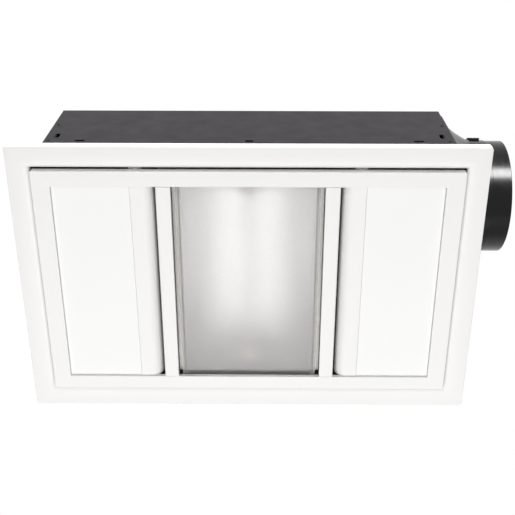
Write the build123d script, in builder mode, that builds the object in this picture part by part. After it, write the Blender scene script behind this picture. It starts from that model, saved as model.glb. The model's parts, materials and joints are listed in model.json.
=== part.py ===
from build123d import *
from math import cos, hypot, radians, sin
import os

# Bathroom heater, exhaust fan and light in one ceiling unit.
# X runs along the long side and the duct leaves at +X. -Y is the near long side. +Z is up.
# The origin is the middle of the fascia in the plane of the ceiling, so the housing stands
# above z = 0 and the fascia hangs below it. All sizes are in millimetres.

os.makedirs("parts", exist_ok=True)

# Bezel, the outer frame of the fascia
bezel_length = 550.0
bezel_width = 352.0
bezel_drop = 12.0
bezel_flat = 16.5
bezel_roll = 9.5
bezel_rise = 5.0
bezel_wall = 1.8
bezel_corner = 3.0
throat_top = -1.5
lug_x = 130.0
lug_y = 144.5
lug_length = 14.0
lug_width = 12.0
lug_drop = 3.2

# Panel, the frame that hangs inside the bezel and drops on its posts
panel_length = 494.6
panel_width = 295.0
panel_face = -17.2
panel_top = -6.4
panel_wall = 1.8
stile = 21.2
rail = 17.9
ledge = -11.7
seam = 0.3

# Bars beside the heater window
bar_inner = 88.7
bar_outer = 106.0
tongue = 1.5
tongue_reach = 139.0

# Light units
strip_inner = 109.0
strip_roll = 14.0
strip_wall = 3.0
strip_face = -14.7
strip_top = 6.0
diffuser_inner = 135.8
diffuser_face = -14.2
tray_wall = 1.6
tray_top = -1.7
flange_y = 141.0
flange_x = 232.0
board_thick = 1.2
lamp_rows = 4
lamps_in_row = 12

# Housing, folded from sheet steel
housing_length = 502.0
housing_width = 304.0
housing_top = 198.0
sheet = 1.2
flange = 16.0
fold = 2.2
end_lap = 10.0
ceiling_hole = 2.5
ceiling_hole_x = 150.0
ceiling_hole_y = 160.0
rivet_x = 245.0
rivet_heights = (16.0, 76.0, 135.5)
rivet_top_y = (-100.0, 0.0, 100.0)

# Duct adaptor and spigot
duct_y = -62.0
duct_z = 120.0
spigot_radius = 71.5
spigot_wall = 1.8
spigot_end = 323.0
neck_radius = 72.3
neck_end = 300.0
collar_start = 276.8
collar_end = 279.6
adaptor_flange_y = 178.0
adaptor_flange_z = 129.0
adaptor_base_y = 170.0
adaptor_base_z = 118.0
adaptor_wall = 1.4

# Backdraught flaps
flap_radius = 68.6
flap_face = 292.6
flap_thick = 1.5
hinge_x = 296.5
pin_radius = 1.5
barrel_radius = 2.9
running = 0.05

# Blower
blower_x = 62.0
blower_y = 4.0
scroll_bottom = 82.0
scroll_top = 178.0
scroll_wall = 1.2
scroll_start = 70.0
scroll_end = 132.0
tongue_angle = -11.0
outlet_far_y = -8.0
outlet_x = 248.4
inlet_radius = 48.0
inlet_roll = 8.0
impeller_outer = 62.0
impeller_inner = 50.0
impeller_bottom = 90.0
impeller_top = 169.6
blade_count = 36
motor_radius = 34.0
motor_bottom = 128.0
motor_top = 190.0
shaft_radius = 4.0

# Heater
shield_x = 104.0
shield_y = 146.0
shield_bottom = -5.0
shield_top = 58.0
reflector_lip = 88.3
reflector_mouth = 81.0
reflector_bottom = -6.8
reflector_roof = 54.0
reflector_half = 126.0
lamp_height = 26.0
lamp_radius = 6.0
glass_half_x = 84.0
glass_half_y = 134.0
glass_bottom = -10.8
glass_top = -6.8

# Terminal box on the left end
box_x = -273.0
box_y = (-30.0, 50.0)
box_z = (108.0, 168.0)
lead_hole = (10.0, 146.0)
cover_screws_at = ((-25.0, 113.0), (45.0, 163.0))
block_screws_at = ((-10.0, 120.0), (38.0, 120.0))
earth_screw = (-16.0, 150.0)
gland_x = -262.0
gland_z = 136.0
gland_thread = 6.0
gland_hex = 10.4
cable_radius = 3.8

# Capacitor and driver inside
capacitor_screw = (-140.0, 150.0)
driver_screws_at = ((-230.0, 90.0), (-118.0, 90.0))
ear_plate = 2.0

# Hanger posts
post_x = 240.0
post_y = 100.0
post_width = 10.0
post_thick = 3.0
post_top = 56.0
clip_bottom = 1.0
clip_top = 9.0

# Worked out from the above
window_x = panel_length / 2 - stile
window_y = panel_width / 2 - rail
wall_x = housing_length / 2
wall_y = housing_width / 2
inner_x = wall_x - sheet
inner_y = wall_y - sheet
inner_top = housing_top - sheet
both_sides = (-1, 1)
corners = [(i, j) for i in both_sides for j in both_sides]


def save(piece, label):
    """Name a finished piece and write it to its own file."""
    piece.part.label = label
    export_step(piece.part, f"parts/{label}.step")


def seat(x, y, z, direction):
    """The plane under a fastener's head, with its shank along the given direction."""
    return Plane(origin=(x, y, z), z_dir=direction)


def screw_set(seats, head_radius, head_height, shank_radius, shank_length):
    """Pan-head screws with a cross recess, one on each seat."""
    with BuildPart() as screws:
        for place in seats:
            with BuildSketch(place):
                Circle(shank_radius)
            extrude(amount=shank_length)
            with BuildSketch(place):
                Circle(head_radius)
            extrude(amount=-head_height, taper=12)
            with BuildSketch(place.offset(-head_height)):
                Rectangle(head_radius, head_radius * 0.24)
                Rectangle(head_radius * 0.24, head_radius)
            extrude(amount=head_height * 0.5, mode=Mode.SUBTRACT)
    return screws


def rectangle_ring(outer_x, outer_y, inner_x_size, inner_y_size, bottom, top):
    """An upright rectangular wall or plate with a rectangular opening."""
    with BuildSketch(Plane.XY.offset(bottom)) as ring:
        Rectangle(outer_x, outer_y)
        Rectangle(inner_x_size, inner_y_size, mode=Mode.SUBTRACT)
    extrude(ring.sketch, amount=top - bottom)


# Bezel: one swept section, with a lip outside, a flat band and a rolled inner edge
roll_back = bezel_roll - bezel_wall
rise_back = bezel_rise - bezel_wall
throat = bezel_flat + bezel_roll
roll_centre = bezel_rise - bezel_drop

with BuildPart() as bezel:
    with BuildLine() as bezel_path:
        Polyline(
            (0, -bezel_width / 2),
            (bezel_length / 2, -bezel_width / 2),
            (bezel_length / 2, bezel_width / 2),
            (-bezel_length / 2, bezel_width / 2),
            (-bezel_length / 2, -bezel_width / 2),
            close=True,
        )
    with BuildSketch(Plane(origin=(0, -bezel_width / 2, 0), x_dir=(0, 1, 0), z_dir=(1, 0, 0))):
        with BuildLine():
            Polyline((0, 0), (0, -bezel_drop), (bezel_flat, -bezel_drop))
            EllipticalCenterArc((bezel_flat, roll_centre), bezel_roll, bezel_rise, -90, arc_size=90)
            Polyline(
                (throat, roll_centre),
                (throat, throat_top),
                (throat - bezel_wall, throat_top),
                (throat - bezel_wall, roll_centre),
            )
            EllipticalCenterArc((bezel_flat, roll_centre), roll_back, rise_back, -90, arc_size=90)
            Polyline(
                (bezel_flat, roll_centre - rise_back),
                (bezel_wall, roll_centre - rise_back),
                (bezel_wall, 0),
                (0, 0),
            )
        make_face()
    sweep(path=bezel_path.line, transition=Transition.RIGHT)
    upright = bezel.edges().filter_by(Axis.Z)
    outer_corners = upright.group_by(lambda edge: round(hypot(edge.center().X, edge.center().Y)))[-1]
    fillet(outer_corners, radius=bezel_corner)
    with BuildSketch(Plane.XY.offset(-lug_drop)):
        with Locations(*[(i * lug_x, j * lug_y) for i, j in corners]):
            Rectangle(lug_length, lug_width)
    extrude(amount=lug_drop)
    with BuildSketch(Plane.XY.offset(-lug_drop)):
        with Locations(*[(i * lug_x, j * lug_y) for i, j in corners]):
            Circle(2.2)
    extrude(amount=lug_drop, mode=Mode.SUBTRACT)
    lowest = bezel.faces().sort_by(Axis.Z)[0]
    fillet(lowest.outer_wire().edges(), radius=0.8)
save(bezel, "bezel")

bracket_foot = 1.5
with BuildPart() as bezel_brackets:
    for i, j in corners:
        with BuildSketch(Plane.XY):
            with Locations((i * lug_x, j * (inner_y - 6.2))):
                Rectangle(lug_length, 12.4)
        extrude(amount=bracket_foot)
        with BuildSketch(Plane.XY):
            with Locations((i * lug_x, j * (inner_y - bracket_foot / 2))):
                Rectangle(lug_length, bracket_foot)
        extrude(amount=16)
        with BuildSketch(Plane.XY):
            with Locations((i * lug_x, j * lug_y)):
                Circle(2.0)
        extrude(amount=bracket_foot, mode=Mode.SUBTRACT)
save(bezel_brackets, "bezel_brackets")

bezel_seats = [seat(i * lug_x, j * lug_y, -lug_drop, (0, 0, 1)) for i, j in corners]
bezel_screws = screw_set(bezel_seats, 3.6, 2.0, 1.9, 8.0)
save(bezel_screws, "bezel_screws")


# Housing wrap: the top and both long walls are one folded sheet
slot_row = 76.0
wide_slot_x = 207.0
fixing_row = 94.0
fixing_slot_x = 238.0
bead_length = 300.0

with BuildPart() as housing_wrap:
    with BuildSketch(Plane.YZ):
        with Locations((0, (housing_top - sheet) / 2)):
            Rectangle(housing_width, housing_top + sheet)
        with Locations((0, inner_top / 2 - sheet)):
            Rectangle(2 * inner_y, inner_top + 2 * sheet, mode=Mode.SUBTRACT)
        with Locations(*[(j * (wall_y + flange / 2 - sheet / 2), -sheet / 2) for j in both_sides]):
            Rectangle(flange + sheet, sheet)
    extrude(amount=wall_x, both=True)
    top_folds = housing_wrap.edges().filter_by(Axis.X).group_by(Axis.Z)[-1]
    fillet(top_folds, radius=fold)
    with BuildSketch(Plane.XZ.offset(wall_y)):
        with Locations(*[(i * fixing_slot_x, fixing_row) for i in both_sides]):
            SlotOverall(15, 6, rotation=90)
        with Locations(*[(i * wide_slot_x, slot_row) for i in both_sides]):
            SlotOverall(13, 5)
        with Locations((0, slot_row)):
            SlotOverall(11, 6)
    extrude(amount=-housing_width, mode=Mode.SUBTRACT)
    with BuildSketch(Plane.XY.offset(-sheet)):
        with Locations(*[(i * ceiling_hole_x, j * ceiling_hole_y) for i, j in corners]):
            Circle(ceiling_hole)
    extrude(amount=sheet, mode=Mode.SUBTRACT)
    # pressed stiffening beads sink into the top and show as ridges underneath
    with BuildSketch(Plane.XY.offset(inner_top - sheet)):
        with Locations(*[(-80, j * 118.0) for j in both_sides]):
            SlotOverall(bead_length, 12)
    extrude(amount=sheet)
    with BuildSketch(Plane.XY.offset(inner_top)):
        with Locations(*[(-80, j * 118.0) for j in both_sides]):
            SlotOverall(bead_length - 2 * sheet, 12 - 2 * sheet)
    extrude(amount=sheet, mode=Mode.SUBTRACT)
    with BuildSketch(Plane.XY.offset(inner_top)):
        with Locations(*driver_screws_at):
            Circle(1.6)
    extrude(amount=sheet, mode=Mode.SUBTRACT)
    with BuildSketch(Plane.XZ.offset(-inner_y)):
        with Locations(capacitor_screw):
            Circle(1.6)
    extrude(amount=-sheet, mode=Mode.SUBTRACT)
save(housing_wrap, "housing_wrap")


def housing_end(side, openings):
    """An end plate with laps folded inwards under the wrap, a flange turned out below and its openings."""
    face = side * (wall_x - sheet / 2)
    lap = side * (inner_x - end_lap / 2)
    with BuildPart() as end:
        with BuildSketch(Plane.XY.offset(-sheet)):
            with Locations((face, 0)):
                Rectangle(sheet, 2 * inner_y)
        extrude(amount=housing_top)
        for j in both_sides:
            with BuildSketch(Plane.XY.offset(0)):
                with Locations((lap, j * (inner_y - sheet / 2))):
                    Rectangle(end_lap, sheet)
            extrude(amount=inner_top)
        with BuildSketch(Plane.XY.offset(inner_top - sheet)):
            with Locations((lap, 0)):
                Rectangle(end_lap, 2 * inner_y)
        extrude(amount=sheet)
        with BuildSketch(Plane.XY.offset(-sheet)):
            with Locations((side * (wall_x + flange / 2), 0)):
                Rectangle(flange, 2 * inner_y)
        extrude(amount=sheet)
        with BuildSketch(Plane.YZ.offset(face)):
            openings()
        extrude(amount=sheet, both=True, mode=Mode.SUBTRACT)
    return end


outlet_y = (scroll_end - blower_y) * -1
outlet_width = outlet_far_y - outlet_y
outlet_middle = (outlet_far_y + outlet_y) / 2
outlet_height = scroll_top - scroll_bottom - 4
outlet_level = (scroll_top + scroll_bottom) / 2
adaptor_screw_y = adaptor_flange_y / 2 - 4.5
adaptor_screw_z = adaptor_flange_z / 2 - 4.5
adaptor_holes = [(duct_y + i * adaptor_screw_y, duct_z - 1.5 + j * adaptor_screw_z) for i, j in corners]


def right_openings():
    """The blower's outlet and the adaptor's screw holes."""
    with Locations((outlet_middle, outlet_level)):
        RectangleRounded(outlet_width, outlet_height, 4)
    with Locations(*adaptor_holes):
        Circle(1.6)


housing_end_right = housing_end(1, right_openings)
save(housing_end_right, "housing_end_right")

def left_openings():
    """The lead hole into the terminal box and the box's screw holes."""
    with Locations(lead_hole):
        Circle(9)
    with Locations(*cover_screws_at, *block_screws_at, earth_screw):
        Circle(1.6)


housing_end_left = housing_end(-1, left_openings)
save(housing_end_left, "housing_end_left")

rivet_radius = 2.4
with BuildPart() as housing_rivets:
    for i, j in corners:
        for height in rivet_heights:
            with BuildSketch(Plane(origin=(i * rivet_x, j * wall_y, height), z_dir=(0, j, 0))):
                Circle(rivet_radius)
            extrude(amount=0.9, taper=30)
    for i in both_sides:
        for y in rivet_top_y:
            with BuildSketch(Plane(origin=(i * rivet_x, y, housing_top), z_dir=(0, 0, 1))):
                Circle(rivet_radius)
            extrude(amount=0.9, taper=30)
save(housing_rivets, "housing_rivets")


# Duct adaptor: a flanged transition from a rectangle at the housing to a round collar
def transition_outline(half_y, half_z, corner, radius):
    """Eight edges, as a rounded rectangle or, where a radius is given, as a circle."""
    middle = (duct_y, duct_z - 1.5) if radius is None else (duct_y, duct_z)
    quarter_turns = (0, 90, 180, 270)
    if radius is None:
        signs = ((1, 1), (-1, 1), (-1, -1), (1, -1))
        centres = [(middle[0] + i * (half_y - corner), middle[1] + j * (half_z - corner)) for i, j in signs]
        arcs = [(centre, corner, turn, 90) for centre, turn in zip(centres, quarter_turns)]
    else:
        arcs = [(middle, radius, turn + 30, 30) for turn in quarter_turns]
    drawn = [CenterArc(*arc) for arc in arcs]
    for one, following in zip(drawn, drawn[1:] + drawn[:1]):
        if radius is None:
            Line(one @ 1, following @ 0)
        else:
            RadiusArc(following @ 0, one @ 1, radius)


def transition(extra, start, end, mode):
    """A solid cone from the rectangle at one plane to the circle at another."""
    with BuildSketch(Plane.YZ.offset(start)) as base:
        with BuildLine():
            transition_outline(adaptor_base_y / 2 + extra, adaptor_base_z / 2 + extra, 8 + extra, None)
        make_face()
    with BuildSketch(Plane.YZ.offset(end)) as mouth:
        with BuildLine():
            transition_outline(0, 0, 0, neck_radius + adaptor_wall + extra)
        make_face()
    loft([base.sketch, mouth.sketch], ruled=True, mode=mode)


adaptor_plate = 1.6
with BuildPart() as duct_adaptor:
    with BuildSketch(Plane.YZ.offset(wall_x)):
        with Locations((duct_y, duct_z - 1.5)):
            RectangleRounded(adaptor_flange_y, adaptor_flange_z, 5)
        with Locations(*adaptor_holes):
            Circle(1.9, mode=Mode.SUBTRACT)
    extrude(amount=adaptor_plate)
    transition(0, wall_x + 0.2, collar_start, Mode.ADD)
    with BuildSketch(Plane.YZ.offset(collar_start)):
        with Locations((duct_y, duct_z)):
            Circle(neck_radius + adaptor_wall)
    extrude(amount=collar_end - collar_start)
    transition(-adaptor_wall, wall_x, collar_start, Mode.SUBTRACT)
    with BuildSketch(Plane.YZ.offset(collar_start)):
        with Locations((duct_y, duct_z)):
            Circle(neck_radius)
    extrude(amount=collar_end - collar_start, mode=Mode.SUBTRACT)
save(duct_adaptor, "duct_adaptor")

adaptor_seats = [seat(wall_x + adaptor_plate, y, z, (-1, 0, 0)) for y, z in adaptor_holes]


# Duct spigot: a moulded tube with a stop ring for the flaps and two bosses for their pin. Its neck, which
# the collar and the clips hold, is a little thicker, so that its shoulder stops a duct
bore = spigot_radius - spigot_wall
stop_start = 289.4
stop_end = 292.4
stop_inner = 66.0
boss_inner = 64.5
boss_size = 8.0
spigot_start = collar_start + 0.2

with BuildPart() as duct_spigot:
    for start, end, radius in ((spigot_start, neck_end, neck_radius), (neck_end, spigot_end, spigot_radius)):
        with BuildSketch(Plane.YZ.offset(start)):
            with Locations((duct_y, duct_z)):
                Circle(radius)
                Circle(bore, mode=Mode.SUBTRACT)
        extrude(amount=end - start)
    rim = duct_spigot.edges().filter_by(GeomType.CIRCLE).group_by(Axis.X)[-1]
    fillet(rim, radius=0.6)
    with BuildSketch(Plane.YZ.offset(stop_start)):
        with Locations((duct_y, duct_z)):
            Circle(bore + 0.5)
            Circle(stop_inner, mode=Mode.SUBTRACT)
    extrude(amount=stop_end - stop_start)
    with BuildSketch(Plane.YZ.offset(hinge_x - boss_size / 2)):
        with Locations((duct_y, duct_z)):
            Circle(bore + 0.5)
            Circle(boss_inner, mode=Mode.SUBTRACT)
            Rectangle(boss_size, 2 * spigot_radius, mode=Mode.INTERSECT)
    extrude(amount=boss_size)
    with BuildSketch(Plane.XY.offset(duct_z - bore)):
        with Locations((hinge_x, duct_y)):
            Circle(pin_radius)
    extrude(amount=2 * bore, mode=Mode.SUBTRACT)
save(duct_spigot, "duct_spigot")

# Spigot clips: short moulded lugs on the tube that lock behind the collar
clip_angles = (17, 107, 197, 287)
clip_length = 16.0
clip_height = 3.0
with BuildPart() as spigot_clips:
    for angle in clip_angles:
        turn = radians(180 - angle)
        outward = (0, cos(turn), sin(turn))
        centre = (
            collar_end + 0.3 + clip_length / 2,
            duct_y + (neck_radius - 0.05) * outward[1],
            duct_z + (neck_radius - 0.05) * outward[2],
        )
        with BuildSketch(Plane(origin=centre, x_dir=(1, 0, 0), z_dir=outward)):
            SlotOverall(clip_length, 9)
        extrude(amount=clip_height)
    with BuildSketch(Plane.YZ.offset(collar_end)):
        with Locations((duct_y, duct_z)):
            Circle(neck_radius)
    extrude(amount=spigot_end - collar_end, mode=Mode.SUBTRACT)
save(spigot_clips, "spigot_clips")

with BuildPart() as flap_pin:
    with BuildSketch(Plane.XY.offset(duct_z - bore)):
        with Locations((hinge_x, duct_y)):
            Circle(pin_radius)
    extrude(amount=2 * bore)
save(flap_pin, "flap_pin")

# Backdraught flaps: two half discs on one upright pin, each with two barrels and a spring
near_barrels = ((44, 54), (-14, -4))
far_barrels = ((4, 14), (-54, -44))
near_spring = (24, 36)
far_spring = (-36, -24)
notch_reach = 3.7
boss_notch = 62.6


def flap(side, own_barrels, other_barrels):
    """One half-disc flap. Its plate is cut back round the pin where other pieces turn."""
    middle = 0.4
    with BuildPart() as leaf:
        with BuildSketch(Plane.YZ.offset(flap_face)):
            with Locations((duct_y, duct_z)):
                Circle(flap_radius)
            with Locations((duct_y + side * (flap_radius / 2 + middle), duct_z)):
                Rectangle(flap_radius, 2 * flap_radius, mode=Mode.INTERSECT)
            for low, high in other_barrels + (near_spring, far_spring):
                with Locations((duct_y, duct_z + (low + high) / 2)):
                    Rectangle(2 * notch_reach, high - low + 2, mode=Mode.SUBTRACT)
            for j in both_sides:
                with Locations((duct_y, duct_z + j * (boss_notch + 5))):
                    Rectangle(boss_size + 3, 10, mode=Mode.SUBTRACT)
        extrude(amount=flap_thick)
        for low, high in own_barrels:
            with BuildSketch(Plane.XY.offset(duct_z + low)):
                with Locations((hinge_x, duct_y)):
                    Circle(barrel_radius)
                with Locations((flap_face + flap_thick + 0.6, duct_y + side * 4.4)):
                    Rectangle(2.2, 8)
            extrude(amount=high - low)
            with BuildSketch(Plane.XY.offset(duct_z + (low + high) / 2 - 0.7)):
                with Locations((flap_face + flap_thick + 1.0, duct_y + side * 22)):
                    Rectangle(2.0, 40)
            extrude(amount=1.4)
        with BuildSketch(Plane.XY.offset(duct_z - flap_radius)):
            with Locations((hinge_x, duct_y)):
                Circle(pin_radius + running)
        extrude(amount=2 * flap_radius, mode=Mode.SUBTRACT)
    return leaf


flap_near = flap(-1, near_barrels, far_barrels)
save(flap_near, "flap_near")
flap_far = flap(1, far_barrels, near_barrels)
save(flap_far, "flap_far")

wire_radius = 0.35
coil_radius = 1.95
coil_pitch = 1.2
coil_turns = 8.5
tail_length = 14.0


coil_start = duct_z + near_spring[0] + 0.6

# a torsion spring round the pin, with a tail that lies on its flap
with BuildPart() as flap_spring_near:
    with BuildLine() as wire:
        coil = Helix(
            pitch=coil_pitch,
            height=coil_turns * coil_pitch,
            radius=coil_radius,
            center=(hinge_x, duct_y, coil_start),
            direction=(0, 0, 1),
        )
        Line(coil @ 1, coil @ 1 + (coil % 1) * tail_length)
    with BuildSketch(Plane(origin=coil @ 0, z_dir=coil % 0)):
        Circle(wire_radius)
    sweep(path=wire.line, transition=Transition.RIGHT)
save(flap_spring_near, "flap_spring_near")

# the far spring is the same one turned over about the duct's axis
turned_over = flap_spring_near.part.rotate(Axis((0, duct_y, duct_z), (1, 0, 0)), 180)
with BuildPart() as flap_spring_far:
    add(turned_over)
save(flap_spring_far, "flap_spring_far")
print(f"flap springs: {coil_turns} turns, gap between turns {coil_pitch - 2 * wire_radius:.2f} mm")


# Blower scroll: a spiral wall round the impeller that opens into a straight outlet
def spiral(angle):
    """A point on the inside of the scroll. The radius grows steadily from the tongue to the outlet."""
    share = (angle - tongue_angle) / (270 - tongue_angle)
    radius = scroll_start + share * (scroll_end - scroll_start)
    turn = radians(angle)
    return (blower_x + radius * cos(turn), blower_y + radius * sin(turn))


def scroll_outline():
    """The inside of the scroll seen from above."""
    steps = 6
    step = (270 - tongue_angle) / steps
    for i in range(steps):
        start = tongue_angle + i * step
        ThreePointArc(spiral(start), spiral(start + step / 2), spiral(start + step))
    near = spiral(270)
    tip = spiral(tongue_angle)
    Polyline(near, (outlet_x, near[1]), (outlet_x, outlet_far_y), (tip[0] + 6, outlet_far_y), tip)


def scroll_plate(height, holes):
    """A sheet cut to the scroll's outline, with a round opening."""
    with BuildSketch(Plane.XY.offset(height)) as plate:
        with BuildLine():
            scroll_outline()
        make_face()
        offset(amount=scroll_wall)
        with Locations((blower_x, blower_y)):
            Circle(holes, mode=Mode.SUBTRACT)
    extrude(plate.sketch, amount=scroll_wall)


def blower_places(radius, count, start):
    """Points on a circle round the blower's axis."""
    turns = [radians(start + i * 360 / count) for i in range(count)]
    return [(blower_x + radius * cos(turn), blower_y + radius * sin(turn)) for turn in turns]


ear_reach = 42.0
inlet_screws_at = blower_places(61, 4, 45)
motor_ears_at = blower_places(ear_reach, 4, 45)

inlet_gap = 0.3
with BuildPart() as scroll_floor:
    scroll_plate(scroll_bottom, inlet_radius + inlet_roll + inlet_gap)
    with BuildSketch(Plane.XY.offset(scroll_bottom)):
        with Locations(*inlet_screws_at):
            Circle(1.3)
    extrude(amount=scroll_wall, mode=Mode.SUBTRACT)
save(scroll_floor, "scroll_floor")

with BuildPart() as blower_scroll:
    with BuildSketch(Plane.XY.offset(scroll_bottom + scroll_wall)):
        with BuildLine():
            scroll_outline()
        make_face()
        offset(amount=scroll_wall)
        with BuildLine():
            scroll_outline()
        make_face(mode=Mode.SUBTRACT)
    extrude(amount=scroll_top - scroll_bottom - scroll_wall)
    with BuildSketch(Plane.YZ.offset(outlet_x - 0.5)):
        with Locations((outlet_middle, outlet_level)):
            Rectangle(outlet_width, outlet_height)
    extrude(amount=4, mode=Mode.SUBTRACT)
save(blower_scroll, "blower_scroll")

standoff_places = ((24.0, 102.0), (-50.0, -64.0), (150.0, -120.0), (165.0, 2.5))
standoff_radius = 5.0
with BuildPart() as scroll_cover:
    scroll_plate(scroll_top, motor_radius + 1.5)
    with BuildSketch(Plane.XY.offset(scroll_top)):
        with Locations(*standoff_places):
            Circle(12)
    extrude(amount=scroll_wall)
    with BuildSketch(Plane.XY.offset(scroll_top)):
        with Locations(*standoff_places):
            Circle(2.2)
        with Locations(*motor_ears_at):
            Circle(2.0)
    extrude(amount=scroll_wall, mode=Mode.SUBTRACT)
save(scroll_cover, "scroll_cover")

cover_face = scroll_top + scroll_wall
with BuildPart() as blower_standoffs:
    with BuildSketch(Plane.XY.offset(cover_face)):
        with Locations(*standoff_places):
            RegularPolygon(standoff_radius, 6)
    extrude(amount=inner_top - cover_face)
    with BuildSketch(Plane.XY.offset(cover_face)):
        with Locations(*standoff_places):
            Circle(2.1)
    extrude(amount=inner_top - cover_face, mode=Mode.SUBTRACT)
save(blower_standoffs, "blower_standoffs")

blower_seats = [seat(x, y, scroll_top, (0, 0, 1)) for x, y in standoff_places]
blower_screws = screw_set(blower_seats, 4.0, 2.2, 2.0, 12.0)
save(blower_screws, "blower_screws")

# Inlet ring: a bell mouth that leads the air from below into the eye of the impeller
throat_outer = inlet_radius + 1.2
ring_foot = scroll_bottom - 2.4
ring_edge = 66.0
with BuildPart() as inlet_ring:
    with BuildSketch(Plane.XZ.offset(-blower_y)):
        with BuildLine():
            Line(
                (blower_x + inlet_radius, impeller_bottom - 2),
                (blower_x + inlet_radius, ring_foot + inlet_roll),
            )
            CenterArc((blower_x + inlet_radius + inlet_roll, ring_foot + inlet_roll), inlet_roll, 180, 90)
            Polyline(
                (blower_x + inlet_radius + inlet_roll, ring_foot),
                (blower_x + ring_edge, ring_foot),
                (blower_x + ring_edge, scroll_bottom),
                (blower_x + inlet_radius + inlet_roll, scroll_bottom),
                (blower_x + throat_outer, scroll_bottom + 5),
                (blower_x + throat_outer, impeller_bottom - 2),
                (blower_x + inlet_radius, impeller_bottom - 2),
            )
        make_face()
    revolve(axis=Axis((blower_x, blower_y, 0), (0, 0, 1)))
    with BuildSketch(Plane.XY.offset(ring_foot)):
        with Locations(*inlet_screws_at):
            Circle(1.6)
    extrude(amount=scroll_bottom - ring_foot, mode=Mode.SUBTRACT)
save(inlet_ring, "inlet_ring")

inlet_seats = [seat(x, y, ring_foot, (0, 0, 1)) for x, y in inlet_screws_at]
inlet_screws = screw_set(inlet_seats, 3.2, 1.8, 1.25, 6.0)
save(inlet_screws, "inlet_screws")

# Motor, hung through the scroll cover on four rubber grommets
grommet_height = 3.0
can_end = 3.0
ear_bottom = cover_face + grommet_height
ear_thick = 1.6
bearing_radius = 9.0
bearing_height = 6.0

with BuildPart() as motor_body:
    with BuildSketch(Plane.XY.offset(motor_bottom)):
        with Locations((blower_x, blower_y)):
            Circle(motor_radius)
    extrude(amount=motor_top - motor_bottom)
    can_rims = motor_body.edges().filter_by(GeomType.CIRCLE)
    fillet(can_rims, radius=4)
    with BuildSketch(Plane.XY.offset(ear_bottom)):
        with Locations((blower_x, blower_y)):
            for turn in (45, 135):
                Rectangle(2 * ear_reach, 12, rotation=turn)
        with Locations(*motor_ears_at):
            Circle(6)
    extrude(amount=ear_thick)
    with BuildSketch(Plane.XY.offset(ear_bottom)):
        with Locations(*motor_ears_at):
            Circle(2.0)
    extrude(amount=ear_thick, mode=Mode.SUBTRACT)
    with BuildSketch(Plane.XY.offset(motor_bottom)):
        with Locations((blower_x, blower_y)):
            Circle(shaft_radius + 2)
    extrude(amount=motor_top - motor_bottom - can_end, mode=Mode.SUBTRACT)
    with BuildSketch(Plane.XY.offset(motor_bottom)):
        with Locations((blower_x, blower_y)):
            Circle(bearing_radius)
    extrude(amount=bearing_height, mode=Mode.SUBTRACT)
    with BuildSketch(Plane.XY.offset(motor_top - can_end - bearing_height)):
        with Locations((blower_x, blower_y)):
            Circle(bearing_radius)
    extrude(amount=bearing_height, mode=Mode.SUBTRACT)
save(motor_body, "motor_body")

with BuildPart() as motor_bearings:
    for level in (motor_bottom, motor_top - can_end - bearing_height):
        with BuildSketch(Plane.XY.offset(level)):
            with Locations((blower_x, blower_y)):
                Circle(bearing_radius)
                Circle(shaft_radius + running, mode=Mode.SUBTRACT)
        extrude(amount=bearing_height)
save(motor_bearings, "motor_bearings")

with BuildPart() as motor_grommets:
    with BuildSketch(Plane.XY.offset(cover_face)):
        for x, y in motor_ears_at:
            with Locations((x, y)):
                Circle(4.6)
                Circle(2.0, mode=Mode.SUBTRACT)
    extrude(amount=grommet_height)
save(motor_grommets, "motor_grommets")

motor_seats = [seat(x, y, ear_bottom + ear_thick, (0, 0, -1)) for x, y in motor_ears_at]
motor_screws = screw_set(motor_seats, 3.8, 2.0, 1.9, 8.0)
save(motor_screws, "motor_screws")

# Rotor: the shaft, the squirrel-cage impeller with its dished hub, and the nut below
shaft_bottom = 98.0
cup_floor = 118.0
cup_floor_thick = 1.6
cup_wall = 1.2
cup_radius = 39.2
boss_radius = 9.0
boss_top = 126.0
nut_bottom = 100.0
nut_top = 106.0

with BuildPart() as motor_shaft:
    with BuildSketch(Plane.XY.offset(shaft_bottom)):
        with Locations((blower_x, blower_y)):
            Circle(shaft_radius)
    extrude(amount=motor_top - can_end - 0.4 - shaft_bottom)
save(motor_shaft, "motor_shaft")


def blade_point(radius, angle):
    """A point in the plan of the impeller, about its own axis."""
    return (radius * cos(radians(angle)), radius * sin(radians(angle)))


blade_sweep = 8.0
blade_angle = 0.95
blade_middle = (impeller_inner + impeller_outer) / 2

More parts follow.
